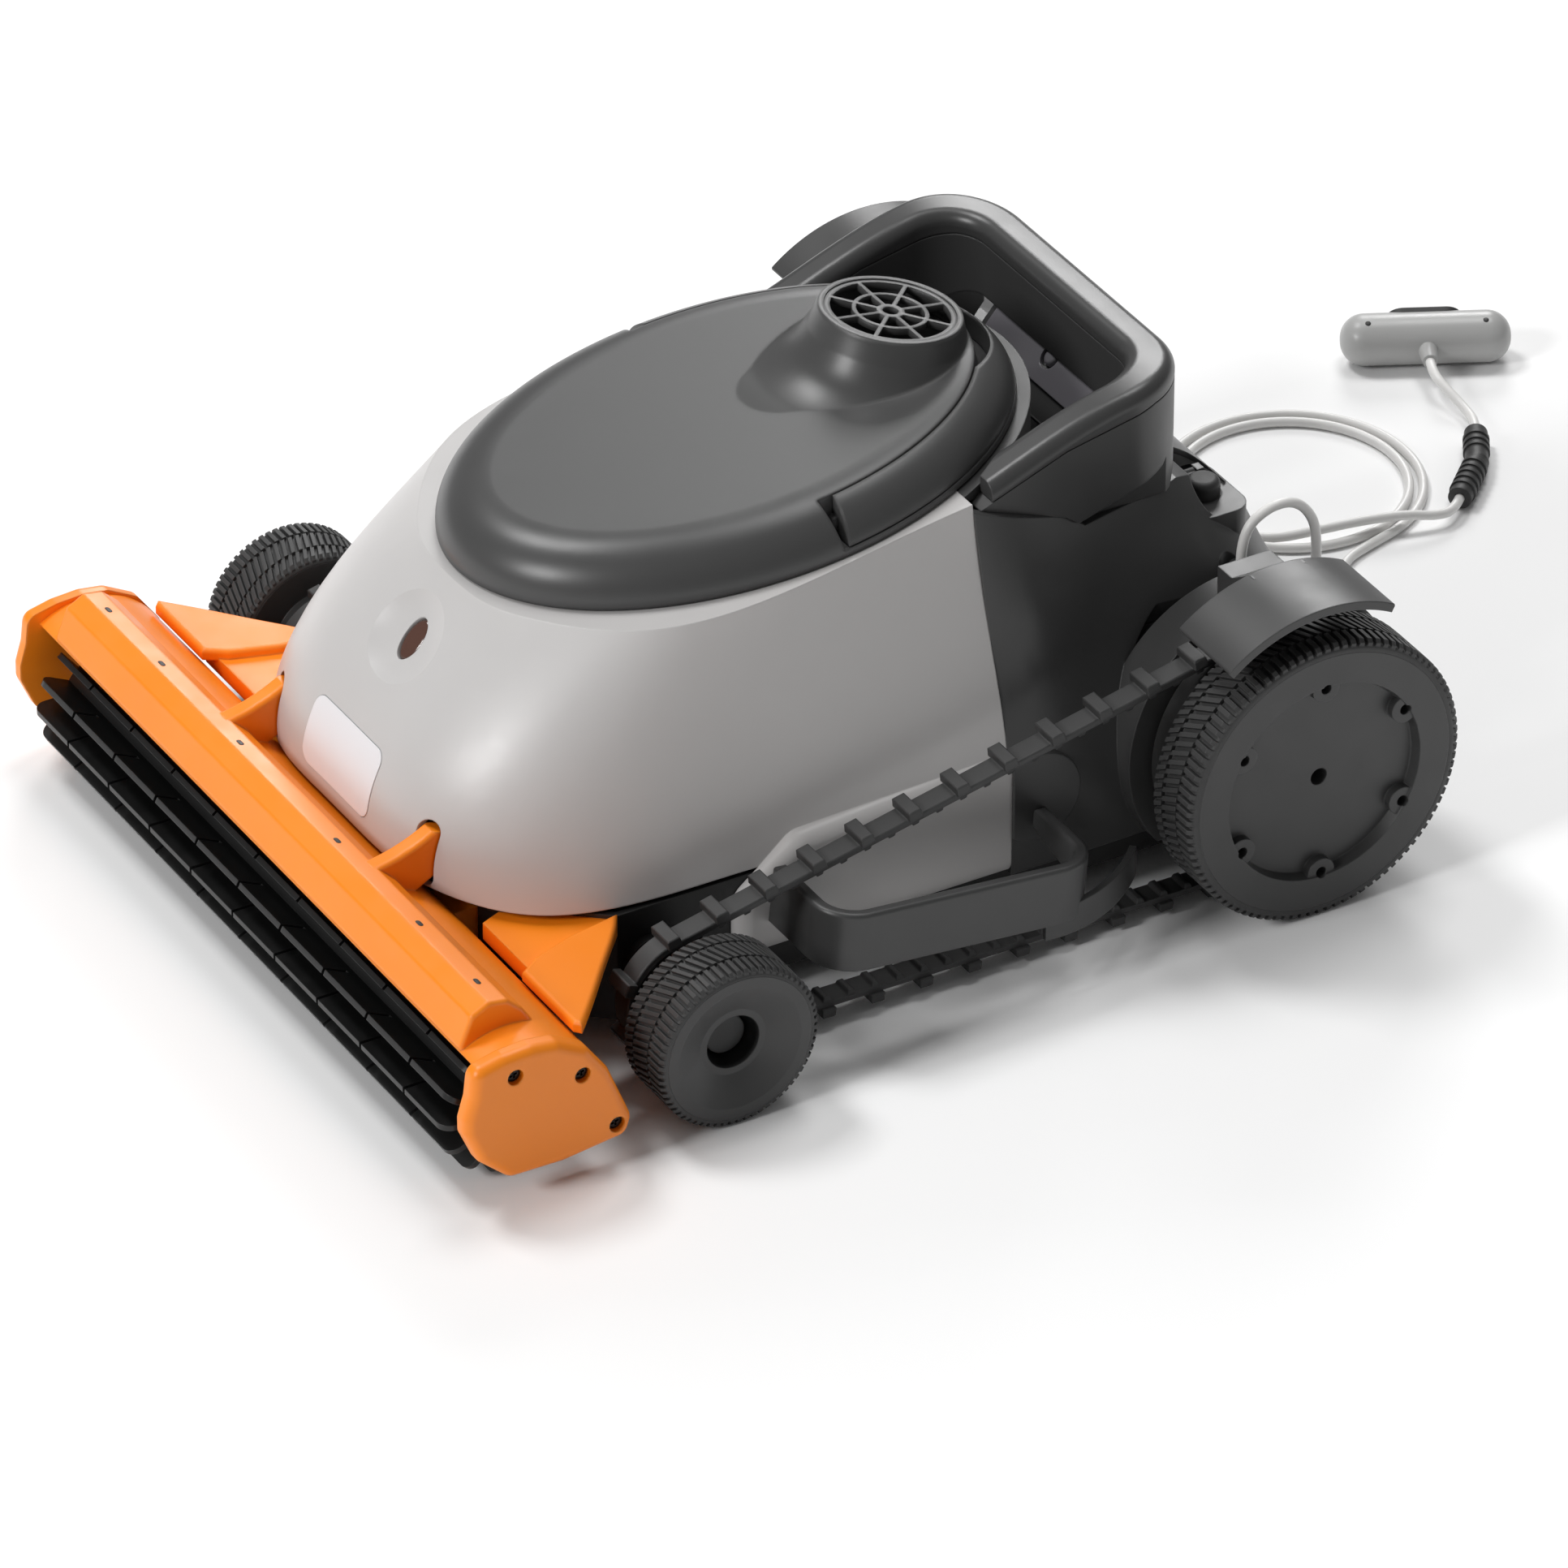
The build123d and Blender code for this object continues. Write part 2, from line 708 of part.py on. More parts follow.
# Rear shell
with BuildPart() as rear_shell:
    loft(sections=rump_form(0.0, 0.0))
    loft(sections=rump_form(shell_wall, shell_wall), mode=Mode.SUBTRACT)
    with BuildSketch(side_plane(-160.0)):
        outline(
            (
                (40, handle_low_z),
                (seam_y, handle_low_z),
                (handle_heel_y, handle_heel_z),
                (handle_heel_y + 10.0, rump_top_z),
                (rump_y + 20.0, rump_top_z),
                (rump_y + 20.0, 260),
                (40, 260),
            )
        )
    extrude(amount=320.0, mode=Mode.SUBTRACT)
    with BuildSketch(Plane.XY.offset(tub_top_z + 2.0)):
        with Locations((0, lid_y)):
            Ellipse(lid_rx + rim_out, lid_ry + rim_out)
        with Locations((0, seam_y - 150.0)):
            Rectangle(400.0, 300.0, mode=Mode.SUBTRACT)
    extrude(amount=150.0)
    with BuildSketch(Plane.XY.offset(tub_top_z + 1.0)):
        with Locations((0, lid_y)):
            Ellipse(lid_rx + rim_out - shell_wall, lid_ry + rim_out - shell_wall)
    extrude(amount=160.0, mode=Mode.SUBTRACT)
    with BuildSketch(rim_plane):
        Ellipse(lid_rx + rim_out - 1.0, lid_ry + rim_out - 1.0)
        Ellipse(lid_rx - opening_in, lid_ry - opening_in, mode=Mode.SUBTRACT)
        with Locations((0, seam_v - 150.0)):
            Rectangle(400.0, 300.0, mode=Mode.SUBTRACT)
    extrude(amount=-rim_t)
    split(bisect_by=rim_plane, keep=Keep.BOTTOM)
    with BuildSketch(side_plane(-console_half)):
        outline(
            (
                (panel_y - 13.5, rump_top_z - 7.5),
                (panel_y - 13.5, panel_z - 10.5),
                (panel_y - 7.0, panel_z - 8.0),
                (panel_y - 5.2, panel_z - 6.0),
                (panel_y + 5.0, panel_z + 5.9),
                (panel_y + 8.5, panel_z + 5.9),
                (panel_y + 8.5, rump_top_z - 7.5),
            )
        )
    extrude(amount=2 * console_half)
    with BuildSketch(panel_plane):
        Rectangle(2 * console_half + 2, 40.0)
    extrude(amount=20.0, mode=Mode.SUBTRACT)
    for sign in sides.values():
        with BuildSketch(side_plane(sign * arch_in_x)):
            with Locations((rear_axle_y, rear_axle_z)):
                Circle(arch_r)
        extrude(amount=sign * (arch_out_x - arch_in_x))
        with BuildSketch(side_plane(sign * arch_in_x)):
            with Locations((boss_y, boss_z)):
                Circle(boss_r)
        extrude(amount=sign * (boss_x - arch_in_x))
    with Locations((gland_x, gland_y, gland_foot_z - 13.0)):
        Cylinder(radius=gland_foot_r + 2.0, height=26.0)
    with Locations((gland_x, gland_y, gland_foot_z + 15.0)):
        Cylinder(radius=gland_foot_r + 2.5, height=30.0, mode=Mode.SUBTRACT)
    loft(sections=rump_form(shell_wall, shell_wall), mode=Mode.SUBTRACT)
    for sign in sides.values():
        with BuildSketch(side_plane(sign * (arch_in_x - 10.0))):
            with Locations((rear_axle_y, rear_axle_z)):
                Circle(arch_r - shell_wall)
        extrude(amount=sign * (arch_out_x - arch_in_x - shell_wall + 10.0), mode=Mode.SUBTRACT)
        with BuildSketch(side_plane(sign * arch_in_x)):
            with Locations((rear_axle_y, rear_axle_z)):
                Circle(bush_flange_r + 2.0)
        extrude(amount=sign * 40.0, mode=Mode.SUBTRACT)
    with Locations((0, (seam_y + tub_rear_y) / 2, tub_top_z + seat_gap - 50.0)):
        Box(2 * (tub_half_w + seat_gap), tub_rear_y - seam_y + 8.0, 100.0, mode=Mode.SUBTRACT)
    split(bisect_by=Plane.XY.offset(pod_bottom_z), keep=Keep.TOP)
    split(bisect_by=Plane(origin=(0, seam_y, 0), x_dir=(1, 0, 0), z_dir=(0, -1, 0)), keep=Keep.BOTTOM)
    with BuildSketch(Plane.XY.offset(port_floor_z)):
        with Locations((port_x + port_room_shift, port_y)):
            RectangleRounded(port_room_x, port_room_y, 8.0)
    extrude(amount=60.0, mode=Mode.SUBTRACT)
    with BuildSketch(Plane.XY.offset(port_floor_z - socket_len)):
        with Locations((port_x + port_room_shift, port_y)):
            RectangleRounded(port_room_x + 4.0, port_room_y + 4.0, 9.0)
    extrude(amount=socket_len)
    with BuildSketch(Plane.XY.offset(port_floor_z - socket_len)):
        with Locations((port_x, port_y)):
            Circle(socket_r + 0.1)
    extrude(amount=60.0, mode=Mode.SUBTRACT)
    for sign in sides.values():
        ear_mid_y = port_y + sign * (port_barrel_w / 2 + port_ear_gap + port_ear_w / 2)
        with Locations((port_x - port_hinge_out, ear_mid_y, port_floor_z + 2.2)):
            Box(5.0, port_ear_w, 4.6)
    with BuildSketch(axle_plane(port_y, 0)):
        with Locations((port_x - port_hinge_out, port_floor_z + port_hinge_up)):
            Circle(port_pin_r + run_gap)
    extrude(amount=port_barrel_w, both=True, mode=Mode.SUBTRACT)
    with BuildSketch(panel_plane):
        with Locations((0, panel_h / 2 - notch_h / 2)):
            Circle(button_r + button_gap)
    extrude(amount=-button_in - button_room, mode=Mode.SUBTRACT)
rear_shell.part.label = "rear_shell"
export_step(rear_shell.part, "parts/rear_shell.step")

# Handle and its top trim
with BuildPart() as arm_scoop:
    with BuildSketch(Plane.XY.offset(rump_top_z - 5.0)):
        with Locations((0, (seam_y + handle_rear_y) / 2)):
            Rectangle(2 * handle_half + 2.0, handle_rear_y - seam_y + 2.0)
        with Locations((0, (seam_y + handle_rear_y) / 2 - arm_scoop_in)):
            Rectangle(2 * (handle_half - arm_scoop_in), handle_rear_y - seam_y, mode=Mode.SUBTRACT)
    extrude(amount=40.0)
    with BuildSketch(side_plane(-handle_half - 10)):
        outline(
            (
                (handle_heel_y + 6.0, rump_top_z - 6.0),
                (handle_heel_y + 6.0, handle_heel_z - 4.6),
                (handle_in_y - 21.0, handle_heel_z + 1.8),
                (handle_in_y + 1.0, handle_heel_z + 7.8),
                (handle_in_y + 9.0, handle_heel_z + 15.0),
                (handle_rear_y + 5.0, handle_heel_z + 15.0),
                (handle_rear_y + 5.0, rump_top_z - 6.0),
            )
        )
    extrude(amount=2 * handle_half + 20, mode=Mode.INTERSECT)

with BuildPart() as handle_form:
    with BuildSketch(Plane.XY.offset(160.0)):
        with Locations((0, (seam_y + handle_rear_y) / 2)):
            Rectangle(2 * handle_half, handle_rear_y - seam_y)
        outer_corners = vertices(Select.LAST).group_by(Axis.Y)[-1]
        fillet(outer_corners, radius=handle_round)
    extrude(amount=80.0)
    with BuildSketch(Plane.XY.offset(150.0)):
        with Locations((0, (seam_y + handle_in_y) / 2 - 20)):
            Rectangle(2 * handle_in_half, handle_in_y - seam_y + 40)
        inner_corners = vertices(Select.LAST).group_by(Axis.Y)[-1]
        fillet(inner_corners, radius=handle_in_round)
    extrude(amount=100.0, mode=Mode.SUBTRACT)
    with BuildSketch(Plane.XY.offset(150.0)):
        with Locations((0, lid_y)):
            Ellipse(lid_rx + rim_out + handle_lid_gap, lid_ry + rim_out + handle_lid_gap)
    extrude(amount=100.0, mode=Mode.SUBTRACT)
    with BuildSketch(side_plane(-handle_half - 10)):
        with BuildLine():
            Polyline(
                (seam_y, handle_low_z + 5.0),
                (seam_y, handle_low_z),
                (handle_heel_y, handle_heel_z),
                (handle_heel_y + 10.0, rump_top_z),
                (handle_in_y + 8.0, rump_top_z),
                (handle_rear_y + 1, 179.0),
                (handle_rear_y + 1, handle_top_z - 3.0),
            )
            Spline(
                (seam_y, handle_low_z + 5.0),
                (handle_heel_y, handle_top_z - 11.0),
                (handle_in_y - 5.0, handle_top_z - 1.0),
                (handle_rear_y + 1, handle_top_z - 3.0),
            )
        make_face()
    extrude(amount=2 * handle_half + 20, mode=Mode.INTERSECT)
    handle_top = handle_form.faces().filter_by(lambda face: face.normal_at(face.center()).Z > 0.5)
    handle_rim = handle_top.edges().filter_by(lambda edge: edge.center().Y > seam_y + 25.0)
    fillet(handle_rim, radius=handle_edge)
    with BuildSketch(side_plane(-handle_in_half)):
        outline(
            (
                (handle_in_y - 13.0, rump_top_z - 10.0),
                (handle_in_y - 13.0, 177.0),
                (handle_in_y + 3.0, 188.0),
                (handle_rear_y + 5.0, 179.0),
                (handle_rear_y + 5.0, rump_top_z - 10.0),
            )
        )
    extrude(amount=2 * handle_in_half, mode=Mode.SUBTRACT)
    add(arm_scoop.part, mode=Mode.SUBTRACT)


def trim_profile(low):
    """The side outline of everything above the trim line of the handle."""
    return (
        (seam_y - 10, handle_low_z - 1.0 - low),
        (seam_y, handle_low_z + 5.5 - low),
        (handle_heel_y, handle_top_z - 11.0 - low),
        (handle_in_y - 5.0, handle_top_z - 2.0 - low),
        (handle_rear_y + 2, handle_top_z - 1.0 - low),
        (handle_rear_y + 2, 260.0),
        (seam_y - 10, 260.0),
    )


with BuildPart() as handle_frame:
    add(handle_form.part)
    with BuildSketch(side_plane(-handle_half - 10)):
        outline(trim_profile(handle_cap_t + trim_seam))
    extrude(amount=2 * handle_half + 20, mode=Mode.SUBTRACT)
handle_frame.part.label = "handle_frame"
export_step(handle_frame.part, "parts/handle_frame.step")

with BuildPart() as handle_cap:
    add(handle_form.part)
    with BuildSketch(side_plane(-handle_half - 10)):
        outline(trim_profile(handle_cap_t))
    extrude(amount=2 * handle_half + 20, mode=Mode.INTERSECT)
    with BuildSketch(Plane.XY.offset(150.0)):
        with Locations((0, seam_y)):
            Rectangle(2 * handle_half + 10, 20.0)
    extrude(amount=100.0, mode=Mode.SUBTRACT)
handle_cap.part.label = "handle_cap"
export_step(handle_cap.part, "parts/handle_cap.step")

# Console
with BuildPart() as control_panel:
    with BuildSketch(panel_plane):
        RectangleRounded(panel_w, panel_h, 2.0)
        with Locations((0, panel_h / 2 - notch_h / 2)):
            Circle(notch_w / 2, mode=Mode.SUBTRACT)
    extrude(amount=panel_t)
control_panel.part.label = "control_panel"
export_step(control_panel.part, "parts/control_panel.step")

with BuildPart() as power_button:
    with BuildSketch(panel_plane.offset(-button_in)):
        with Locations((0, panel_h / 2 - notch_h / 2)):
            Circle(button_r)
    extrude(amount=button_in + button_out)
    fillet(power_button.faces().sort_by(Axis(panel_plane.origin, panel_plane.z_dir))[-1].edges(), radius=1.8)
power_button.part.label = "power_button"
export_step(power_button.part, "parts/power_button.step")

# Charging port
with BuildPart() as charge_socket:
    with Locations((port_x, port_y, port_floor_z - socket_len / 2)):
        Cylinder(radius=socket_r, height=socket_len)
    with Locations((port_x, port_y, port_floor_z - socket_bore_len / 2)):
        Cylinder(radius=socket_bore_r, height=socket_bore_len, mode=Mode.SUBTRACT)
charge_socket.part.label = "charge_socket"
export_step(charge_socket.part, "parts/charge_socket.step")

with BuildPart() as port_cap:
    with Locations((port_x, port_y, port_floor_z + port_cap_h / 2)):
        Cylinder(radius=port_cap_r, height=port_cap_h)
    fillet(port_cap.faces().sort_by(Axis.Z)[-1].edges(), radius=3.0)
    with Locations((port_x - port_hinge_out / 2 - 2.0, port_y, port_floor_z + port_hinge_up)):
        Box(port_hinge_out - 4.0, port_barrel_w, 2.6)
    with BuildSketch(axle_plane(port_y, 0)):
        with Locations((port_x - port_hinge_out, port_floor_z + port_hinge_up)):
            Circle(port_barrel_r)
    extrude(amount=port_barrel_w / 2, both=True)
    with BuildSketch(axle_plane(port_y, 0)):
        with Locations((port_x - port_hinge_out, port_floor_z + port_hinge_up)):
            Circle(port_pin_r)
    extrude(amount=port_barrel_w / 2 + port_pin_len, both=True)
port_cap.part.label = "port_cap"
export_step(port_cap.part, "parts/port_cap.step")

# Lid with its lifting bail
with BuildPart() as lid_form:
    loft(sections=lid_levels())

with BuildPart() as lid_room:
    with BuildSketch(lid_side_plane.offset(-150)):
        outline(
            (
                (lid_end_v, lid_flange_t),
                (0, lid_h),
                (-1, lid_h + 10),
                (200, lid_h + 10),
                (200, lid_flange_t),
            )
        )
    extrude(amount=300.0)
    island = ellipse_pair(lid_plane.offset(-1), island_rx, island_ry, island_lean, island_h)
    loft(sections=island, ruled=True, mode=Mode.SUBTRACT)

with BuildPart() as outlet_form:
    with BuildSketch(flare_plane):
        with BuildLine():
            Polyline(
                (flare_r, -flare_h),
                (flare_r, -flare_h - 8.0),
                (0, -flare_h - 8.0),
                (0, 0),
                (outlet_top_r - 1.0, 0),
            )
            Spline(
                (outlet_top_r - 1.0, 0),
                (outlet_top_r + 0.8, -2.5),
                (outlet_top_r + 4.5, -12.0),
                (outlet_top_r + 11.0, -21.5),
                (outlet_top_r + 23.0, -29.6),
                (flare_r, -flare_h),
                tangents=((1, 0), (1, -0.42)),
            )
        make_face()
    revolve(axis=outlet_axis)
    loft(
        sections=ellipse_pair(lid_plane.offset(5), island_rx - 4, island_ry - 4, 2 * island_lean, 2 * island_h),
        ruled=True,
        mode=Mode.INTERSECT,
    )

with BuildPart() as lid_cover:
    add(lid_form.part)
    add(lid_room.part, mode=Mode.SUBTRACT)
    with BuildSketch(lid_side_plane.offset(-lid_rx + 5)):
        with Locations((bail_pin_v, bail_pin_w)):
            Circle(bail_pin_r + run_gap)
    extrude(amount=2 * lid_rx - 10, mode=Mode.SUBTRACT)
    with BuildSketch(grille_plane.offset(-outlet_h)):
        Circle(outlet_foot_r)
    with BuildSketch(grille_plane):
        Circle(outlet_top_r)
    loft(ruled=True)
    add(outlet_form.part)
    with BuildSketch(Plane.XY.offset(duct_bottom_z)):
        with Locations((0, outlet_y)):
            Circle(duct_r + duct_wall)
    extrude(amount=50.0)
    hollow_rx = lid_rx - lid_flange_w
    hollow_ry = lid_ry - lid_flange_w
    hollow = ellipse_pair(lid_plane.offset(-1), hollow_rx, hollow_ry, lid_lean, lid_h - lid_wall + 1)
    loft(sections=hollow, ruled=True, mode=Mode.SUBTRACT)
    with BuildSketch(Plane.XY.offset(duct_bottom_z)):
        with Locations((0, outlet_y)):
            Circle(duct_r + duct_wall)
    extrude(amount=55.0)
    with BuildSketch(Plane.XY.offset(duct_bottom_z - 1)):
        with Locations((0, outlet_y)):
            Circle(duct_r)
    extrude(amount=outlet_z - duct_bottom_z + 10, mode=Mode.SUBTRACT)
    with BuildSketch(grille_plane.offset(-grille_t)):
        Circle(grille_r + grille_gap)
    extrude(amount=20.0, mode=Mode.SUBTRACT)
lid_cover.part.label = "lid_cover"
export_step(lid_cover.part, "parts/lid_cover.step")

with BuildPart() as lid_bail:
    add(lid_form.part)
    with BuildSketch(lid_side_plane.offset(-150)):
        outline(
            (
                (bail_front_v, lid_flange_t + bail_gap),
                (bail_front_v + bail_front_slope, lid_h),
                (bail_front_v + bail_front_slope + 2, lid_h + 10),
                (200, lid_h + 10),
                (200, lid_flange_t + bail_gap),
            )
        )
    extrude(amount=300.0, mode=Mode.INTERSECT)
    bail_in = ellipse_pair(
        lid_plane.offset(-1), island_rx + bail_gap, island_ry + bail_gap, island_lean, island_h
    )
    loft(sections=bail_in, ruled=True, mode=Mode.SUBTRACT)
    for sign in sides.values():
        with BuildSketch(lid_side_plane.offset(sign * (lid_rx - 11.0))):
            with Locations((bail_pin_v, bail_pin_w)):
                Circle(bail_pin_r)
        extrude(amount=-sign * (lid_rx - 11.0 - island_rx + bail_pin_in))
    with BuildSketch(Plane.XY.offset(150.0)):
        with Locations((0, outlet_y)):
            Circle(outlet_foot_r + 2.0)
    extrude(amount=100.0, mode=Mode.SUBTRACT)
lid_bail.part.label = "lid_bail"
export_step(lid_bail.part, "parts/lid_bail.step")

with BuildPart() as lid_gasket:
    with BuildSketch(lid_plane):
        Ellipse(lid_rx - gasket_in, lid_ry - gasket_in)
        Ellipse(lid_rx - gasket_in - gasket_w, lid_ry - gasket_in - gasket_w, mode=Mode.SUBTRACT)
    extrude(amount=-gasket_t)
lid_gasket.part.label = "lid_gasket"
export_step(lid_gasket.part, "parts/lid_gasket.step")

with BuildPart() as outlet_grille:
    with BuildSketch(grille_plane.offset(-grille_t)):
        Circle(grille_r)
        Circle(grille_r - grille_rim, mode=Mode.SUBTRACT)
        Circle(grille_mid_r)
        Circle(grille_mid_r - spoke_w, mode=Mode.SUBTRACT)
        Circle(grille_hub_r)
        with PolarLocations((grille_r + grille_hub_r) / 2 - 1.0, spoke_count):
            Rectangle(grille_r - grille_hub_r, spoke_w)
        Circle(grille_hub_r - 2.5, mode=Mode.SUBTRACT)
    extrude(amount=grille_t - 0.5)
outlet_grille.part.label = "outlet_grille"
export_step(outlet_grille.part, "parts/outlet_grille.step")

# Filter basket, mesh and inlet flap
basket_y = (basket_front_y + basket_rear_y) / 2
basket_l = basket_rear_y - basket_front_y
ear_y = mouth_y + mouth_d / 2 + flap_lap + flap_barrel_r
ear_z = basket_floor_z + basket_wall + flap_barrel_r + 0.2
ear_x = mouth_w / 2 + flap_lap + flap_gap
with BuildPart() as filter_basket:
    with BuildSketch(Plane.XY.offset(basket_floor_z)):
        with Locations((0, basket_y)):
            RectangleRounded(basket_w, basket_l, basket_round)
    extrude(amount=160.0)
    split(bisect_by=lid_plane, keep=Keep.BOTTOM)
    with BuildSketch(lid_plane):
        Ellipse(lid_rx - opening_in - lift_gap, lid_ry - opening_in - lift_gap)
        with Locations((0, (outlet_y - lid_y) / cos(lid_slope) + 2.0)):
            Circle(duct_r + duct_wall + 4.0, mode=Mode.SUBTRACT)
    extrude(amount=-basket_flange_t)
    with BuildSketch(Plane.XY.offset(basket_floor_z + basket_wall)):
        with Locations((0, basket_y)):
            RectangleRounded(basket_w - 2 * basket_wall, basket_l - 2 * basket_wall, basket_round - basket_wall)
    extrude(amount=170.0, mode=Mode.SUBTRACT)
    with BuildSketch(side_plane(-basket_w)):
        with Locations((basket_y, window_z + window_h / 2)):
            with GridLocations(window_pitch, 1, 3, 1):
                RectangleRounded(window_w, window_h, 4.0)
    extrude(amount=2 * basket_w, mode=Mode.SUBTRACT)
    with BuildSketch(axle_plane(basket_y, 0)):
        with Locations((0, window_z + window_h / 2)):
            with GridLocations(window_pitch, 1, 2, 1):
                RectangleRounded(window_w, window_h, 4.0)
    extrude(amount=basket_l, both=True, mode=Mode.SUBTRACT)
    with Locations((0, mouth_y, basket_floor_z)):
        Box(mouth_w, mouth_d, 20.0, mode=Mode.SUBTRACT)
    for sign in sides.values():
        with Locations((sign * (ear_x + flap_pin_len / 2), ear_y, basket_floor_z + 5.0)):
            Box(flap_pin_len, 2 * flap_barrel_r + 2.0, 10.0)
    with BuildSketch(side_plane(-mouth_w)):
        with Locations((ear_y, ear_z)):
            Circle(flap_pin_r + run_gap)
    extrude(amount=2 * mouth_w, mode=Mode.SUBTRACT)
filter_basket.part.label = "filter_basket"
export_step(filter_basket.part, "parts/filter_basket.step")

with BuildPart() as filter_mesh:
    mesh_in = basket_wall + seat_gap
    with BuildSketch(Plane.XY.offset(basket_floor_z + basket_wall)):
        with Locations((0, basket_y)):
            RectangleRounded(basket_w - 2 * mesh_in, basket_l - 2 * mesh_in, basket_round - mesh_in)
    extrude(amount=mesh_top_z - basket_floor_z - basket_wall)
    mesh_in = mesh_in + mesh_t
    with BuildSketch(Plane.XY.offset(basket_floor_z)):
        with Locations((0, basket_y)):
            RectangleRounded(basket_w - 2 * mesh_in, basket_l - 2 * mesh_in, basket_round - mesh_in)
    extrude(amount=mesh_top_z, mode=Mode.SUBTRACT)
filter_mesh.part.label = "filter_mesh"
export_step(filter_mesh.part, "parts/filter_mesh.step")

with BuildPart() as inlet_flap:
    flap_front_y = mouth_y - mouth_d / 2 - flap_lap
    with Locations((0, (flap_front_y + ear_y) / 2, basket_floor_z + basket_wall + flap_t / 2)):
        Box(mouth_w + 2 * flap_lap, ear_y - flap_front_y, flap_t)
    with BuildSketch(side_plane(-mouth_w / 2 - flap_lap)):
        with Locations((ear_y, ear_z)):
            Circle(flap_barrel_r)
    extrude(amount=mouth_w + 2 * flap_lap)
    with BuildSketch(side_plane(-ear_x - flap_pin_len + 0.5)):
        with Locations((ear_y, ear_z)):
            Circle(flap_pin_r)
    extrude(amount=2 * (ear_x + flap_pin_len - 0.5))
inlet_flap.part.label = "inlet_flap"
export_step(inlet_flap.part, "parts/inlet_flap.step")

# Pump, impeller, motors and boxes inside
with BuildPart() as pump_motor:
    with BuildSketch(Plane.XY.offset(tub_bottom_z + tub_wall)):
        with Locations((0, outlet_y)):
            Circle(pump_r)
    extrude(amount=pump_top_z - tub_bottom_z - tub_wall)
    with BuildSketch(Plane.XY.offset(pump_top_z)):
        with Locations((0, outlet_y)):
            Circle(pump_shaft_r)
    extrude(amount=pump_shaft_top_z - pump_top_z)
pump_motor.part.label = "pump_motor"
export_step(pump_motor.part, "parts/pump_motor.step")

with BuildPart() as impeller:
    with BuildSketch(Plane.XY.offset(impeller_z)):
        with Locations((0, outlet_y)):
            Circle(impeller_hub_r)
    extrude(amount=impeller_h)
    with Locations((0, outlet_y, impeller_z + impeller_h / 2)):
        with PolarLocations((impeller_r + impeller_hub_r) / 2 - 1.5, impeller_blades):
            Box(impeller_r - impeller_hub_r - 1.0, 14.0, 2.0, rotation=(35, 0, 0))
    with BuildSketch(Plane.XY.offset(impeller_z - 1)):
        with Locations((0, outlet_y)):
            Circle(pump_shaft_r + run_gap)
    extrude(amount=impeller_h + 2, mode=Mode.SUBTRACT)
    with BuildSketch(Plane.XY.offset(impeller_z - 10)):
        with Locations((0, outlet_y)):
            Circle(impeller_r)
    extrude(amount=impeller_h + 20, mode=Mode.INTERSECT)
impeller.part.label = "impeller"
export_step(impeller.part, "parts/impeller.step")

with BuildPart() as battery_pack:
    with Locations((0, battery_y, tub_bottom_z + tub_wall + battery_h / 2)):
        Box(battery_w, battery_l, battery_h)
    fillet(battery_pack.edges().filter_by(Axis.Z), radius=4.0)
battery_pack.part.label = "battery_pack"
export_step(battery_pack.part, "parts/battery_pack.step")

with BuildPart() as control_box:
    with Locations((0, control_y, tub_bottom_z + tub_wall + control_h / 2)):
        Box(control_w, control_l, control_h)
    fillet(control_box.edges().filter_by(Axis.Z), radius=5.0)
control_box.part.label = "control_box"
export_step(control_box.part, "parts/control_box.step")

tower_in_x = tub_half_w - tower_t
for side, sign in sides.items():
    with BuildPart() as drive_motor:
        with BuildSketch(side_plane(sign * tower_in_x)):
            with Locations((rear_axle_y, rear_axle_z)):
                Circle(drive_motor_r)
        extrude(amount=-sign * drive_motor_l)
        with BuildSketch(side_plane(sign * tower_in_x)):
            with Locations((rear_axle_y, rear_axle_z)):
                Circle(axle_r + run_gap)
        extrude(amount=-sign * (drive_shaft_in + 1.0), mode=Mode.SUBTRACT)
    drive_motor.part.label = f"drive_motor_{side}"
    export_step(drive_motor.part, f"parts/drive_motor_{side}.step")

with BuildPart() as shaft_bushes:
    for sign in sides.values():
        with BuildSketch(axle_plane(rear_axle_y, rear_axle_z)):
            outline(
                (
                    (sign * tower_in_x, axle_r + run_gap),
                    (sign * (tub_half_w + bush_flange_t), axle_r + run_gap),
                    (sign * (tub_half_w + bush_flange_t), bush_flange_r),
                    (sign * tub_half_w, bush_flange_r),
                    (sign * tub_half_w, bush_r - tyre_gap),
                    (sign * tower_in_x, bush_r - tyre_gap),
                )
            )
        revolve(axis=rear_axis)
shaft_bushes.part.label = "shaft_bushes"
export_step(shaft_bushes.part, "parts/shaft_bushes.step")

# Front axle pins
pin_head_x = front_face_x - front_cone_depth + seat_gap
with BuildPart() as front_axle_pins:
    for sign in sides.values():
        with BuildSketch(axle_plane(front_axle_y, front_axle_z)):
            outline(
                (
                    (sign * tub_half_w, 0),
                    (sign * tub_half_w, pin_flange_r),
                    (sign * (tub_half_w + pin_flange_t), pin_flange_r),
                    (sign * (tub_half_w + pin_flange_t), axle_r),
                    (sign * pin_head_x, axle_r),
                    (sign * pin_head_x, pin_head_r),
                    (sign * (pin_head_x + pin_head_t), pin_head_r),
                    (sign * (pin_head_x + pin_head_t), 0),
                )
            )
        revolve(axis=front_axis)
front_axle_pins.part.label = "front_axle_pins"
export_step(front_axle_pins.part, "parts/front_axle_pins.step")

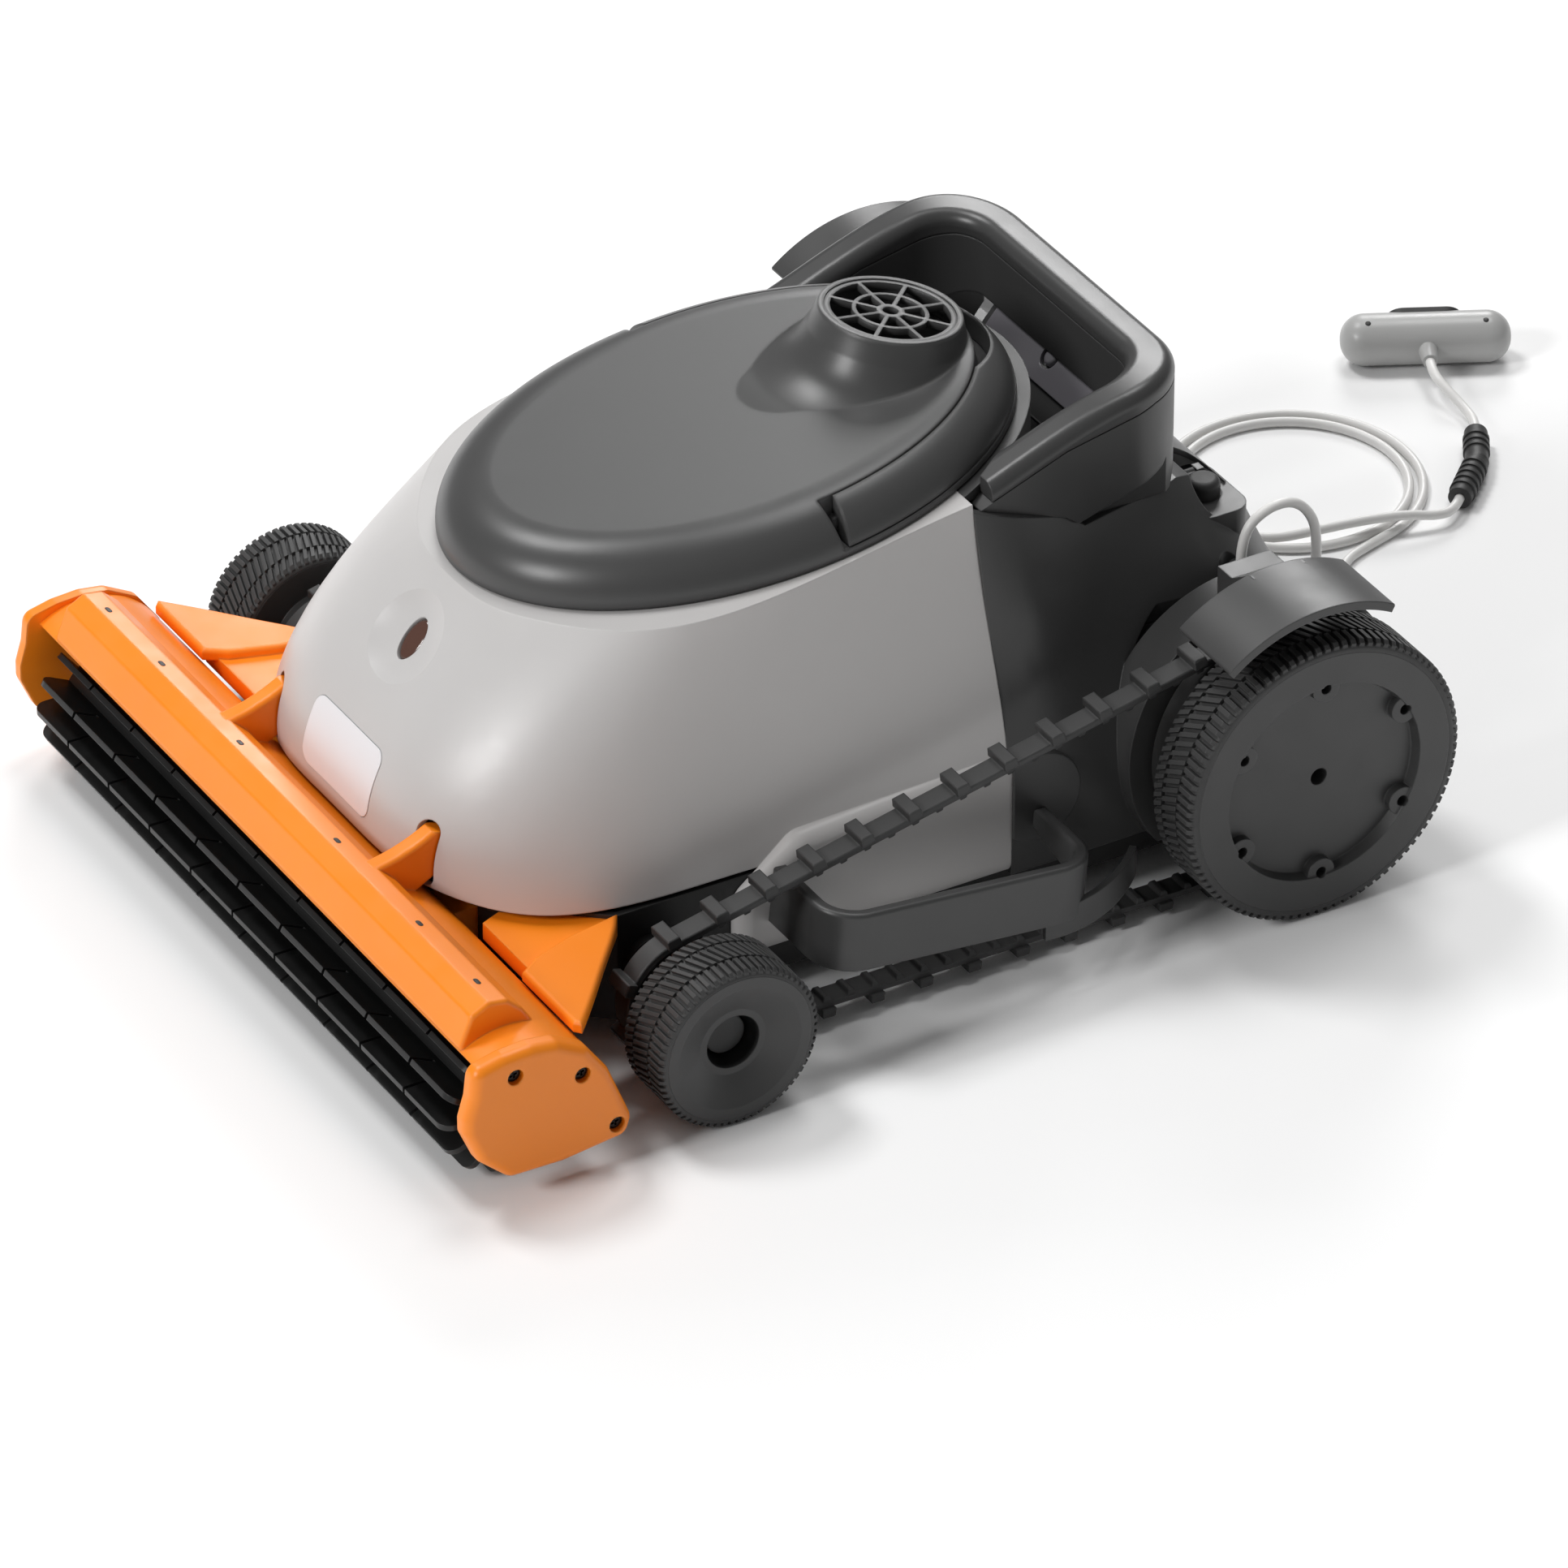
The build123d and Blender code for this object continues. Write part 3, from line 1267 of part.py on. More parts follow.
# Wheels and belts
drum_in_x = belt_x - drum_w / 2
drum_out_x = belt_x + drum_w / 2
front_drum_r = belt_front_r - tooth_h - drum_gap
rear_drum_r = belt_rear_r - tooth_h - drum_gap
front_rim_r = front_wheel_r - front_tyre_t
rear_rim_r = rear_wheel_r - rear_tyre_t
front_in_x = front_face_x - front_wheel_w
rear_in_x = rear_face_x - rear_wheel_w
front_bore_r = axle_r + run_gap
for side, sign in sides.items():
    with BuildPart() as front_hub:
        with BuildSketch(axle_plane(front_axle_y, front_axle_z)):
            outline(
                (
                    (sign * drum_in_x, front_bore_r),
                    (sign * drum_in_x, front_drum_r),
                    (sign * drum_out_x, front_drum_r),
                    (sign * drum_out_x, hub_neck_r),
                    (sign * front_in_x, hub_neck_r),
                    (sign * front_in_x, front_rim_r),
                    (sign * front_face_x, front_rim_r),
                    (sign * front_face_x, front_dish_r + 1.0),
                    (sign * (front_face_x - front_dish_depth), front_cone_r + 3.0),
                    (sign * (front_face_x - front_dish_depth), front_cone_r),
                    (sign * (front_face_x - front_cone_depth), pin_head_r + 0.6),
                    (sign * (front_face_x - front_cone_depth), front_bore_r),
                )
            )
        revolve(axis=front_axis)
    front_hub.part.label = f"front_hub_{side}"
    export_step(front_hub.part, f"parts/front_hub_{side}.step")

    with BuildPart() as front_tyre:
        with BuildSketch(axle_plane(front_axle_y, front_axle_z)):
            with Locations((sign * (front_face_x - front_wheel_w / 2), front_wheel_r - front_tyre_t / 2)):
                Rectangle(front_wheel_w, front_tyre_t)
            fillet(vertices(Select.LAST).group_by(Axis.Y)[-1], radius=tyre_round)
            with Locations((sign * (front_face_x - front_wheel_w / 2), front_rim_r)):
                Rectangle(front_wheel_w + 2, 2 * tyre_gap, mode=Mode.SUBTRACT)
        revolve(axis=front_axis)
    front_tyre.part.label = f"front_tyre_{side}"
    export_step(front_tyre.part, f"parts/front_tyre_{side}.step")

    with BuildPart() as rear_hub:
        with BuildSketch(axle_plane(rear_axle_y, rear_axle_z)):
            outline(
                (
                    (sign * (tower_in_x - drive_shaft_in), 0),
                    (sign * (tower_in_x - drive_shaft_in), axle_r),
                    (sign * drum_in_x, axle_r),
                    (sign * drum_in_x, rear_drum_r),
                    (sign * (drum_out_x - 0.5), rear_drum_r),
                    (sign * rear_in_x, rear_rim_r),
                    (sign * rear_face_x, rear_rim_r),
                    (sign * rear_face_x, rear_dish_r + 1.5),
                    (sign * (rear_face_x - rear_dish_depth), rear_dish_r),
                    (sign * (rear_face_x - rear_dish_depth), 0),
                )
            )
        revolve(axis=rear_axis)
        dish = side_plane(sign * (rear_face_x - rear_dish_depth), rear_axle_y, rear_axle_z)
        with BuildSketch(dish):
            with PolarLocations(rear_dish_r, rear_boss_count, start_angle=30):
                Circle(rear_boss_r)
        extrude(amount=sign * (rear_dish_depth - 1.0))
        rim_side = side_plane(sign * rear_face_x, rear_axle_y, rear_axle_z)
        with BuildSketch(rim_side):
            with PolarLocations(rear_dish_r, rear_boss_count, start_angle=30):
                Circle(rear_boss_hole_r)
        extrude(amount=-sign * rear_boss_hole_depth, mode=Mode.SUBTRACT)
        with BuildSketch(dish):
            Circle(rear_centre_hole_r)
        extrude(amount=-sign * rear_boss_hole_depth, mode=Mode.SUBTRACT)
    rear_hub.part.label = f"rear_hub_{side}"
    export_step(rear_hub.part, f"parts/rear_hub_{side}.step")

    with BuildPart() as rear_tyre:
        with BuildSketch(axle_plane(rear_axle_y, rear_axle_z)):
            with Locations((sign * (rear_face_x - rear_wheel_w / 2), rear_wheel_r - rear_tyre_t / 2)):
                Rectangle(rear_wheel_w, rear_tyre_t)
            fillet(vertices(Select.LAST).group_by(Axis.Y)[-1], radius=tyre_round)
            with Locations((sign * (rear_face_x - rear_wheel_w / 2), rear_rim_r)):
                Rectangle(rear_wheel_w + 2, 2 * tyre_gap, mode=Mode.SUBTRACT)
        revolve(axis=rear_axis)
    rear_tyre.part.label = f"rear_tyre_{side}"
    export_step(rear_tyre.part, f"parts/rear_tyre_{side}.step")

    with BuildLine(side_plane(0)) as belt_middle:
        belt_lines(belt_front_r, belt_rear_r)
    belt_loop = belt_middle.wires()[0]
    lug_count = round(belt_loop.length / lug_pitch)
    with BuildPart() as drive_belt:
        with BuildSketch(side_plane(sign * belt_x - belt_w / 2)):
            with BuildLine():
                belt_lines(belt_front_r + belt_t, belt_rear_r + belt_t)
            make_face()
            with BuildLine():
                belt_lines(belt_front_r, belt_rear_r)
            make_face(mode=Mode.SUBTRACT)
        extrude(amount=belt_w)
        with BuildSketch(side_plane(sign * belt_x - lug_w / 2)):
            for step in range(2 * lug_count):
                spot = belt_loop.position_at(step / (2 * lug_count))
                way = belt_loop.tangent_at(step / (2 * lug_count))
                turn = degrees(atan2(way.Z, way.Y))
                out_y = -way.Z
                out_z = way.Y
                if step % 2 == 0:
                    reach = belt_t + lug_h / 2 - 0.25
                    with Locations(Location((spot.Y + out_y * reach, spot.Z + out_z * reach), turn)):
                        Rectangle(lug_len, lug_h + 0.5)
        extrude(amount=lug_w)
        with BuildSketch(side_plane(sign * belt_x - belt_w / 2)):
            for step in range(2 * lug_count):
                spot = belt_loop.position_at(step / (2 * lug_count))
                way = belt_loop.tangent_at(step / (2 * lug_count))
                turn = degrees(atan2(way.Z, way.Y))
                reach = -tooth_h / 2 + 0.25
                with Locations(Location((spot.Y - way.Z * reach, spot.Z + way.Y * reach), turn)):
                    Rectangle(tooth_len, tooth_h + 0.5)
        extrude(amount=belt_w)
    drive_belt.part.label = f"drive_belt_{side}"
    export_step(drive_belt.part, f"parts/drive_belt_{side}.step")

# Brush roller
with BuildPart() as brush_core:
    with BuildSketch(axle_plane(brush_y, brush_z)):
        drive_x = -brush_half + core_end_t + motor_side_gap + motor_len
        outline(
            (
                (-brush_half, stub_r + run_gap),
                (-brush_half, core_r),
                (brush_half, core_r),
                (brush_half, stub_r),
                (hood_half + stub_in, stub_r),
                (hood_half + stub_in, 0),
                (brush_half - core_end_t, 0),
                (brush_half - core_end_t, core_bore_r),
                (drive_x + motor_side_gap + drive_len, core_bore_r),
                (drive_x + motor_side_gap + drive_len, drive_r + run_gap),
                (drive_x + motor_side_gap, drive_r + run_gap),
                (drive_x + motor_side_gap, core_bore_r),
                (-brush_half + core_end_t, core_bore_r),
                (-brush_half + core_end_t, stub_r + run_gap),
            )
        )
    revolve(axis=brush_axis)
brush_core.part.label = "brush_core"
export_step(brush_core.part, "parts/brush_core.step")

with BuildPart() as brush_motor:
    with BuildSketch(axle_plane(brush_y, brush_z)):
        motor_x = -brush_half + core_end_t + motor_side_gap
        outline(
            (
                (-hood_half - stub_in, 0),
                (-hood_half - stub_in, stub_r),
                (motor_x, stub_r),
                (motor_x, motor_r),
                (motor_x + motor_len, motor_r),
                (motor_x + motor_len, drive_r),
                (motor_x + motor_len + drive_len, drive_r),
                (motor_x + motor_len + drive_len, 0),
            )
        )
    revolve(axis=brush_axis)
brush_motor.part.label = "brush_motor"
export_step(brush_motor.part, "parts/brush_motor.step")

with BuildPart() as brush_blades:
    with BuildSketch(side_plane(-brush_half, brush_y, brush_z)):
        Circle(brush_sleeve_r)
        with PolarLocations((brush_tip_r + core_r) / 2, blade_count):
            Rectangle(brush_tip_r - core_r, blade_t)
        Circle(core_r + sleeve_gap, mode=Mode.SUBTRACT)
    extrude(amount=2 * brush_half)
    with BuildSketch(axle_plane(brush_y, brush_z)):
        with Locations((0, brush_tip_r / 2)):
            Rectangle(2 * brush_half, brush_tip_r)
        fillet(vertices(Select.LAST).group_by(Axis.Y)[-1], radius=blade_end_round)
    revolve(axis=brush_axis, mode=Mode.INTERSECT)
    slit_count = int(2 * brush_half / slit_pitch)
    with BuildSketch(axle_plane(brush_y, brush_z)):
        with GridLocations(slit_pitch, 1, slit_count, 1):
            with Locations((0, brush_tip_r - slit_depth / 2 + 2.0)):
                Rectangle(slit_w, slit_depth + 4.0)
    revolve(axis=brush_axis, mode=Mode.SUBTRACT)
brush_blades.part.label = "brush_blades"
export_step(brush_blades.part, "parts/brush_blades.step")

# Brush housing
hood_start = (hood_r * cos(radians(hood_rear_angle)), hood_r * sin(radians(hood_rear_angle)))
hood_end = (hood_r * cos(radians(hood_front_angle)), hood_r * sin(radians(hood_front_angle)))
with BuildPart() as fin_form:
    with BuildSketch(side_plane(-fin_w / 2, brush_y, brush_z)):
        with BuildLine():
            fin_front = (-4.0, ridge_h - 1.5)
            fin_top = (27.0, ridge_h + 8.0)
            fin_tail = (36.0, ridge_h + 6.0)
            ThreePointArc(fin_front, (12.0, ridge_h + 1.5), fin_top)
            Polyline(fin_top, fin_tail, (36.0, ridge_h - 8.0), (17.0, hood_r - 5.0), (0, hood_r - 5.0), fin_front)
        make_face()
        Circle(hood_r - hood_wall / 2, mode=Mode.SUBTRACT)
    extrude(amount=fin_w)
    fillet(fin_form.edges().filter_by(GeomType.CIRCLE).sort_by(Axis.Z)[-2:], radius=fin_edge)

with BuildPart() as ridge_form:
    with BuildSketch(side_plane(-ridge_half, brush_y, brush_z)):
        outline(
            (
                (hood_end[0] - 1.0, hood_end[1] - 0.5),
                (-16.0, ridge_h - 4.5),
                (-8.0, ridge_h),
                (1.0, ridge_h - 1.5),
                (8.0, ridge_h - 8.0),
                (14.0, hood_r - 4.0),
            )
        )
        fillet(vertices(Select.LAST), radius=2.0)
    extrude(amount=2 * ridge_half)
    ridge_ends = ridge_form.faces().sort_by(Axis.X)
    fillet(ridge_ends[0].edges() + ridge_ends[-1].edges(), radius=ridge_end_round)
    with BuildSketch(side_plane(-hood_half, brush_y, brush_z)):
        Circle(hood_r - hood_wall / 2)
    extrude(amount=2 * hood_half, mode=Mode.SUBTRACT)

with BuildPart() as brush_housing:
    with BuildSketch(side_plane(-hood_half, brush_y, brush_z)):
        with BuildLine():
            ThreePointArc(hood_start, (hood_r * cos(radians(60)), hood_r * sin(radians(60))), hood_end)
            Polyline(hood_end, (0, 0), hood_start)
        make_face()
        Circle(hood_r - hood_wall, mode=Mode.SUBTRACT)
    extrude(amount=2 * hood_half)
    add(ridge_form.part)
    for sign in sides.values():
        with Locations((sign * fin_x, 0, 0)):
            add(fin_form.part)
        with BuildSketch(side_plane(sign * lug_x - lug_block_w / 2, brush_y, brush_z)):
            with Locations(((tub_front_y - brush_y + 30.0) / 2, 10.0)):
                Rectangle(tub_front_y - brush_y - 30.0, 16.0)
            Circle(hood_r - hood_wall / 2, mode=Mode.SUBTRACT)
        extrude(amount=lug_block_w)
brush_housing.part.label = "brush_housing"
export_step(brush_housing.part, "parts/brush_housing.step")

cap_screws = (
    (brush_y - 8.4, brush_z + hood_r - 9.5),
    (brush_y + hood_r - 16.7, brush_z + 20.4),
    (brush_y + hood_r - 0.9, brush_z - 9.6),
)
for side, sign in sides.items():
    with BuildPart() as brush_end_cap:
        with BuildSketch(side_plane(sign * hood_half)):
            with BuildLine():
                FilletPolyline(
                    (brush_y - hood_r + 12.5, brush_z + hood_r - 2.1),
                    (brush_y - 13.0, brush_z + hood_r + 1.1),
                    (brush_y, brush_z + hood_r + 1.9),
                    (brush_y + 12.0, brush_z + hood_r + 0.1),
                    (brush_y + hood_r - 13.5, brush_z + hood_r - 7.6),
                    (brush_y + hood_r - 3.5, brush_z + hood_r - 21.6),
                    (brush_y + hood_r + 7.0, brush_z - 8.6),
                    (brush_y + hood_r + 4.5, brush_z - 17.0),
                    (brush_y + 14.0, brush_z - 20.6),
                    (brush_y - 11.0, brush_z - 20.1),
                    (brush_y - hood_r + 14.5, brush_z - 7.6),
                    (brush_y - hood_r + 8.0, brush_z + 7.4),
                    (brush_y - hood_r + 8.0, brush_z + 14.4),
                    (brush_y - hood_r + 11.0, brush_z + 24.4),
                    radius=cap_corner,
                    close=True,
                )
            make_face()
        extrude(amount=sign * cap_t)
        outer_face = brush_end_cap.faces().sort_by(Axis.X)[-1 if sign > 0 else 0]
        fillet(outer_face.edges(), radius=cap_round)
        with BuildSketch(side_plane(sign * hood_half)):
            with Locations((brush_y, brush_z)):
                Circle(stub_r + run_gap)
        extrude(amount=sign * (stub_in + 0.5), mode=Mode.SUBTRACT)
        with BuildSketch(side_plane(sign * (hood_half + cap_t))):
            with Locations(*cap_screws):
                Circle(screw_r + 0.3)
        extrude(amount=-sign * screw_sink, mode=Mode.SUBTRACT)
        with BuildSketch(side_plane(sign * (hood_half + cap_t))):
            with Locations(*cap_screws):
                Circle(screw_shank_r + 0.1)
        extrude(amount=-sign * (screw_sink + screw_shank_l), mode=Mode.SUBTRACT)
    brush_end_cap.part.label = f"brush_end_cap_{side}"
    export_step(brush_end_cap.part, f"parts/brush_end_cap_{side}.step")

    with BuildPart() as wing_bracket:
        with BuildSketch(Plane.XY.offset(wing_z)):
            with BuildLine():
                wing_root = (sign * tub_half_w, tub_nose_y)
                wing_tip = (sign * (hood_half - 8.0), wing_front_y + 2.5)
                Spline(
                    wing_root,
                    (sign * (tub_half_w + 9.0), tub_nose_y - 6.0),
                    (sign * (hood_half - 43.0), wing_front_y + 32.5),
                    (sign * (hood_half - 28.0), wing_front_y + 20.0),
                    wing_tip,
                )
                Polyline(
                    wing_tip,
                    (sign * (hood_half - 11.0), wing_front_y),
                    (sign * (tub_half_w + 18.0), wing_front_y),
                    (sign * (tub_half_w + 11.0), wing_front_y + 10.0),
                    (sign * (tub_half_w + 4.5), wing_front_y + 30.0),
                    wing_root,
                )
            make_face()
        extrude(amount=wing_t)
        fillet(wing_bracket.faces().sort_by(Axis.Z)[-1].edges(), radius=wing_round)
        with BuildSketch(Plane.XY.offset(wing_web_z)):
            outline(
                (
                    (sign * tub_half_w, tub_nose_y),
                    (sign * (tub_half_w + 14.0), tub_nose_y - 12.5),
                    (sign * (tub_half_w + 26.0), wing_web_y + 16.0),
                    (sign * (tub_half_w + 26.0), wing_web_y),
                    (sign * (tub_nose_x + 5.0), wing_web_y),
                    (sign * tub_nose_x, tub_front_y),
                )
            )
        extrude(amount=wing_web_t)
    wing_bracket.part.label = f"wing_bracket_{side}"
    export_step(wing_bracket.part, f"parts/wing_bracket_{side}.step")

with BuildPart() as end_cap_screws:
    for sign in sides.values():
        with BuildSketch(side_plane(sign * (hood_half + cap_t - screw_sink))):
            with Locations(*cap_screws):
                Circle(screw_r)
        extrude(amount=sign * screw_head_h)
        with BuildSketch(side_plane(sign * (hood_half + cap_t - screw_sink))):
            with Locations(*cap_screws):
                Circle(screw_shank_r)
        extrude(amount=-sign * screw_shank_l)
end_cap_screws.part.label = "end_cap_screws"
export_step(end_cap_screws.part, "parts/end_cap_screws.step")

# Fenders and side guards
for side, sign in sides.items():
    with BuildPart() as rear_fender:
        with BuildSketch(side_plane(sign * fender_in_x, fender_y, fender_z)):
            with BuildLine():
                CenterArc((0, 0), fender_r - fender_t / 2, fender_rear_angle, fender_front_angle - fender_rear_angle)
            trace(line_width=fender_t)
        extrude(amount=sign * (fender_out_x - fender_in_x))
        fender_ends = rear_fender.edges().group_by(Axis.Y)
        fillet(fender_ends[0] + fender_ends[-1], radius=1.2)
        with BuildSketch(axle_plane(fender_y, 0)):
            outline(
                (
                    (sign * fender_foot_x, rear_axle_z + arch_r - 6.0),
                    (sign * arch_out_x, rear_axle_z + arch_r - 6.0),
                    (sign * arch_out_x, rear_axle_z + arch_r + 3.0),
                    (sign * (fender_in_x + 4.0), fender_z + fender_r - fender_t - 4.0),
                    (sign * (fender_in_x + 4.0), fender_z + fender_r - 1.0),
                    (sign * (fender_in_x + 1.0), fender_z + fender_r - 1.0),
                    (sign * (arch_out_x - 2.0), rear_axle_z + arch_r + 12.0),
                    (sign * fender_foot_x, rear_axle_z + arch_r + 12.0),
                )
            )
        extrude(amount=13.0, both=True)
        with BuildSketch(side_plane(sign * (fender_foot_x - 1.0), rear_axle_y, rear_axle_z)):
            Circle(arch_r + seat_gap)
        extrude(amount=sign * (arch_out_x - fender_foot_x + 1.0), mode=Mode.SUBTRACT)
    rear_fender.part.label = f"rear_fender_{side}"
    export_step(rear_fender.part, f"parts/rear_fender_{side}.step")

    guard_lean = radians(guard_slope)
    guard_plane = Plane(
        origin=(0, guard_mid_y, guard_mid_z - guard_h / 2),
        x_dir=(1, 0, 0),
        z_dir=(0, sin(guard_lean), cos(guard_lean)),
    )
    guard_axis = Axis(guard_plane.origin, guard_plane.z_dir)
    with BuildPart() as side_guard:
        with BuildSketch(guard_plane):
            with BuildLine():
                FilletPolyline(
                    (sign * pod_x, guard_front_y - guard_mid_y),
                    (sign * guard_x, guard_front_y - guard_mid_y),
                    (sign * guard_x, guard_rear_y - guard_mid_y),
                    (sign * boss_x, guard_rear_y - guard_mid_y),
                    radius=guard_round,
                )
            trace(line_width=guard_t)
        extrude(amount=guard_h)
        fillet(side_guard.faces().sort_by(guard_axis)[-1].edges(), radius=guard_edge)
        with BuildSketch(axle_plane(guard_rear_y - guard_round, 0)):
            outline(
                (
                    (sign * (guard_x - guard_t), boss_z - 40.0),
                    (sign * (guard_x - 20.0), boss_z - guard_bar - 8.0),
                    (sign * (boss_x - 10.0), boss_z - guard_bar),
                    (sign * (boss_x - 10.0), boss_z - 40.0),
                )
            )
        extrude(amount=-40.0, mode=Mode.SUBTRACT)
        with BuildSketch(Plane.XY.offset(strip_z)):
            with BuildLine():
                Spline((sign * 176.0, 46.0), (sign * 175.0, 66.0), (sign * 164.0, 90.0), (sign * 152.0, 104.0))
            trace(line_width=strip_t)
        extrude(amount=strip_h + 4.0)
    side_guard.part.label = f"side_guard_{side}"
    export_step(side_guard.part, f"parts/side_guard_{side}.step")

# Gland and float cable
with BuildPart() as cable_gland:
    with BuildSketch(Plane.XY.offset(gland_foot_z)):
        with Locations((gland_x, gland_y)):
            RegularPolygon(radius=gland_foot_r, side_count=6)
    extrude(amount=gland_foot_h)
    with BuildSketch(Plane.XY.offset(gland_foot_z + gland_foot_h)):
        with Locations((gland_x, gland_y)):
            Circle(gland_top_r)
    extrude(amount=gland_top_z - gland_foot_z - gland_foot_h)
cable_gland.part.label = "cable_gland"
export_step(cable_gland.part, "parts/cable_gland.step")


def bend_radii(points):
    """Bend radius at each inner point of a cable route."""
    radii = []
    for before, here, after in zip(points, points[1:], points[2:]):
        run_in = Vector(*here) - Vector(*before)
        run_out = Vector(*after) - Vector(*here)
        turn = radians(run_in.get_angle(run_out))
        radii.append(0.45 * min(run_in.length, run_out.length) / tan(turn / 2))
    return radii


def cable_report(name, points, part, route_length):
    """Print the bends and the volume of a cable run."""
    radii = bend_radii(points)
    share = part.volume / (pi * cord_r**2 * route_length)
    print(name, "least bend", round(min(radii), 1), "length", round(route_length, 1), "volume share", round(share, 4))


coil_centre = Vector(coil_x, coil_y)
coil_angle = coil_start
coil_rad = coil_r
coil_first = Vector(
    coil_x + coil_r * cos(radians(coil_start)), coil_y + coil_r * sin(radians(coil_start)), cord_r
)
coil_track = []
with BuildPart() as cord_coil:
    with BuildLine() as coil_line:
        for quarter in range(coil_quarters):
            spots = []
            for share in (0.0, 0.5, 1.0):
                angle = radians(coil_angle + 90.0 * share)
                spots.append(
                    (coil_centre.X + coil_rad * cos(angle), coil_centre.Y + coil_rad * sin(angle), cord_r)
                )
            for share in range(18):
                angle = radians(coil_angle + 5.0 * share)
                coil_track.append((coil_centre.X + coil_rad * cos(angle), coil_centre.Y + coil_rad * sin(angle)))
            ThreePointArc(*spots)
            coil_angle = coil_angle + 90.0
            away = Vector(cos(radians(coil_angle)), sin(radians(coil_angle)))
            coil_centre = coil_centre + away * coil_step
            coil_rad = coil_rad - coil_step
    coil_last = Vector(*spots[2])
    coil_begin_way = Vector(-sin(radians(coil_start)), cos(radians(coil_start)), 0)
    coil_end_way = Vector(-sin(radians(coil_angle)), cos(radians(coil_angle)), 0)
    with BuildSketch(Plane(origin=coil_first, z_dir=coil_begin_way)):
        Circle(cord_r)
    sweep(path=coil_line.wires()[0])
cord_coil.part.label = "cord_coil"
export_step(cord_coil.part, "parts/cord_coil.step")
least = 1000.0
for one in range(len(coil_track)):
    for other in range(one + 36, len(coil_track)):
        far = sqrt(
            (coil_track[one][0] - coil_track[other][0]) ** 2 + (coil_track[one][1] - coil_track[other][1]) ** 2
        )
        least = min(least, far - 2 * cord_r)
coil_length = coil_line.wires()[0].length
print("coil least gap to itself", round(least, 2), "length", round(coil_length, 1))
print("coil volume share", round(cord_coil.part.volume / (pi * cord_r**2 * coil_length), 4))
print("coil first", coil_first, "last", coil_last, "way", coil_end_way)

lead_points = (
    (gland_x, gland_y, gland_top_z),
    (gland_x, gland_y, 143.5),
    (gland_x, gland_y + 13.0, 152.5),
    (gland_x, gland_y + 27.0, 151.5),
    (gland_x, gland_y + 36.5, 139.5),
    (gland_x - 0.5, gland_y + 38.5, 123.5),
    (gland_x - 2.0, gland_y + 38.5, 106.0),
    (100.0, gland_y + 43.0, 85.0),
    (91.0, 239.0, 63.0),
    (76.0, 256.0, 41.0),
    (56.0, 273.0, 22.0),
    (33.0, 288.0, 9.0),
    (8.0, 301.0, 3.2),
    (-20.0, 315.0, cord_r),
    (-41.0, 332.0, cord_r),
    tuple(coil_first - coil_begin_way * 12.0),
    tuple(coil_first),
)
with BuildPart() as cord_lead:
    with BuildLine() as lead_line:
        FilletPolyline(*lead_points, radius=bend_radii(lead_points))
    with BuildSketch(Plane(origin=lead_line.line @ 0, z_dir=lead_line.line % 0)):
        Circle(cord_r)
    sweep(path=lead_line.wires()[0])
cord_lead.part.label = "cord_lead"
export_step(cord_lead.part, "parts/cord_lead.step")
cable_report("lead", lead_points, cord_lead.part, lead_line.wires()[0].length)

joint_z = connector_r + connector_rib
plug_from = Vector(-54.5, 402.0, joint_z)
plug_mid = Vector(-76.0, 425.0, joint_z)
plug_to = Vector(-97.0, 438.0, joint_z)
tail_points = (
    tuple(coil_last),
    tuple(coil_last + coil_end_way * 12.0),
    (-70.5, 314.0, 3.4),
    (-62.0, 332.0, 7.2),
    (-56.0, 352.0, 9.4),
    (-50.5, 371.0, 9.4),
    (-46.0, 384.0, joint_z + 1.0),
    tuple(plug_from - (plug_mid - plug_from).normalized() * 11.0),
    tuple(plug_from),
)
with BuildPart() as cord_tail:
    with BuildLine() as tail_line:
        FilletPolyline(*tail_points, radius=bend_radii(tail_points))
    with BuildSketch(Plane(origin=tail_line.line @ 0, z_dir=tail_line.line % 0)):
        Circle(cord_r)
    sweep(path=tail_line.wires()[0])
cord_tail.part.label = "cord_tail"
export_step(cord_tail.part, "parts/cord_tail.step")
cable_report("tail", tail_points, cord_tail.part, tail_line.wires()[0].length)


plug_halves = ((plug_from, plug_mid, 5), (plug_to, plug_mid, 3))
with BuildPart() as inline_connector:
    for start, end, rib_count in plug_halves:
        way = (end - start).normalized()
        with BuildSketch(Plane(origin=start, z_dir=way)):
            Circle(connector_r)
        extrude(amount=(end - start).length + 1.0)
        for rib in range(rib_count):
            with BuildSketch(Plane(origin=start + way * (5.0 + rib * 5.0), z_dir=way)):
                Circle(connector_r + connector_rib)
            extrude(amount=2.4)
inline_connector.part.label = "inline_connector"
export_step(inline_connector.part, "parts/inline_connector.step")

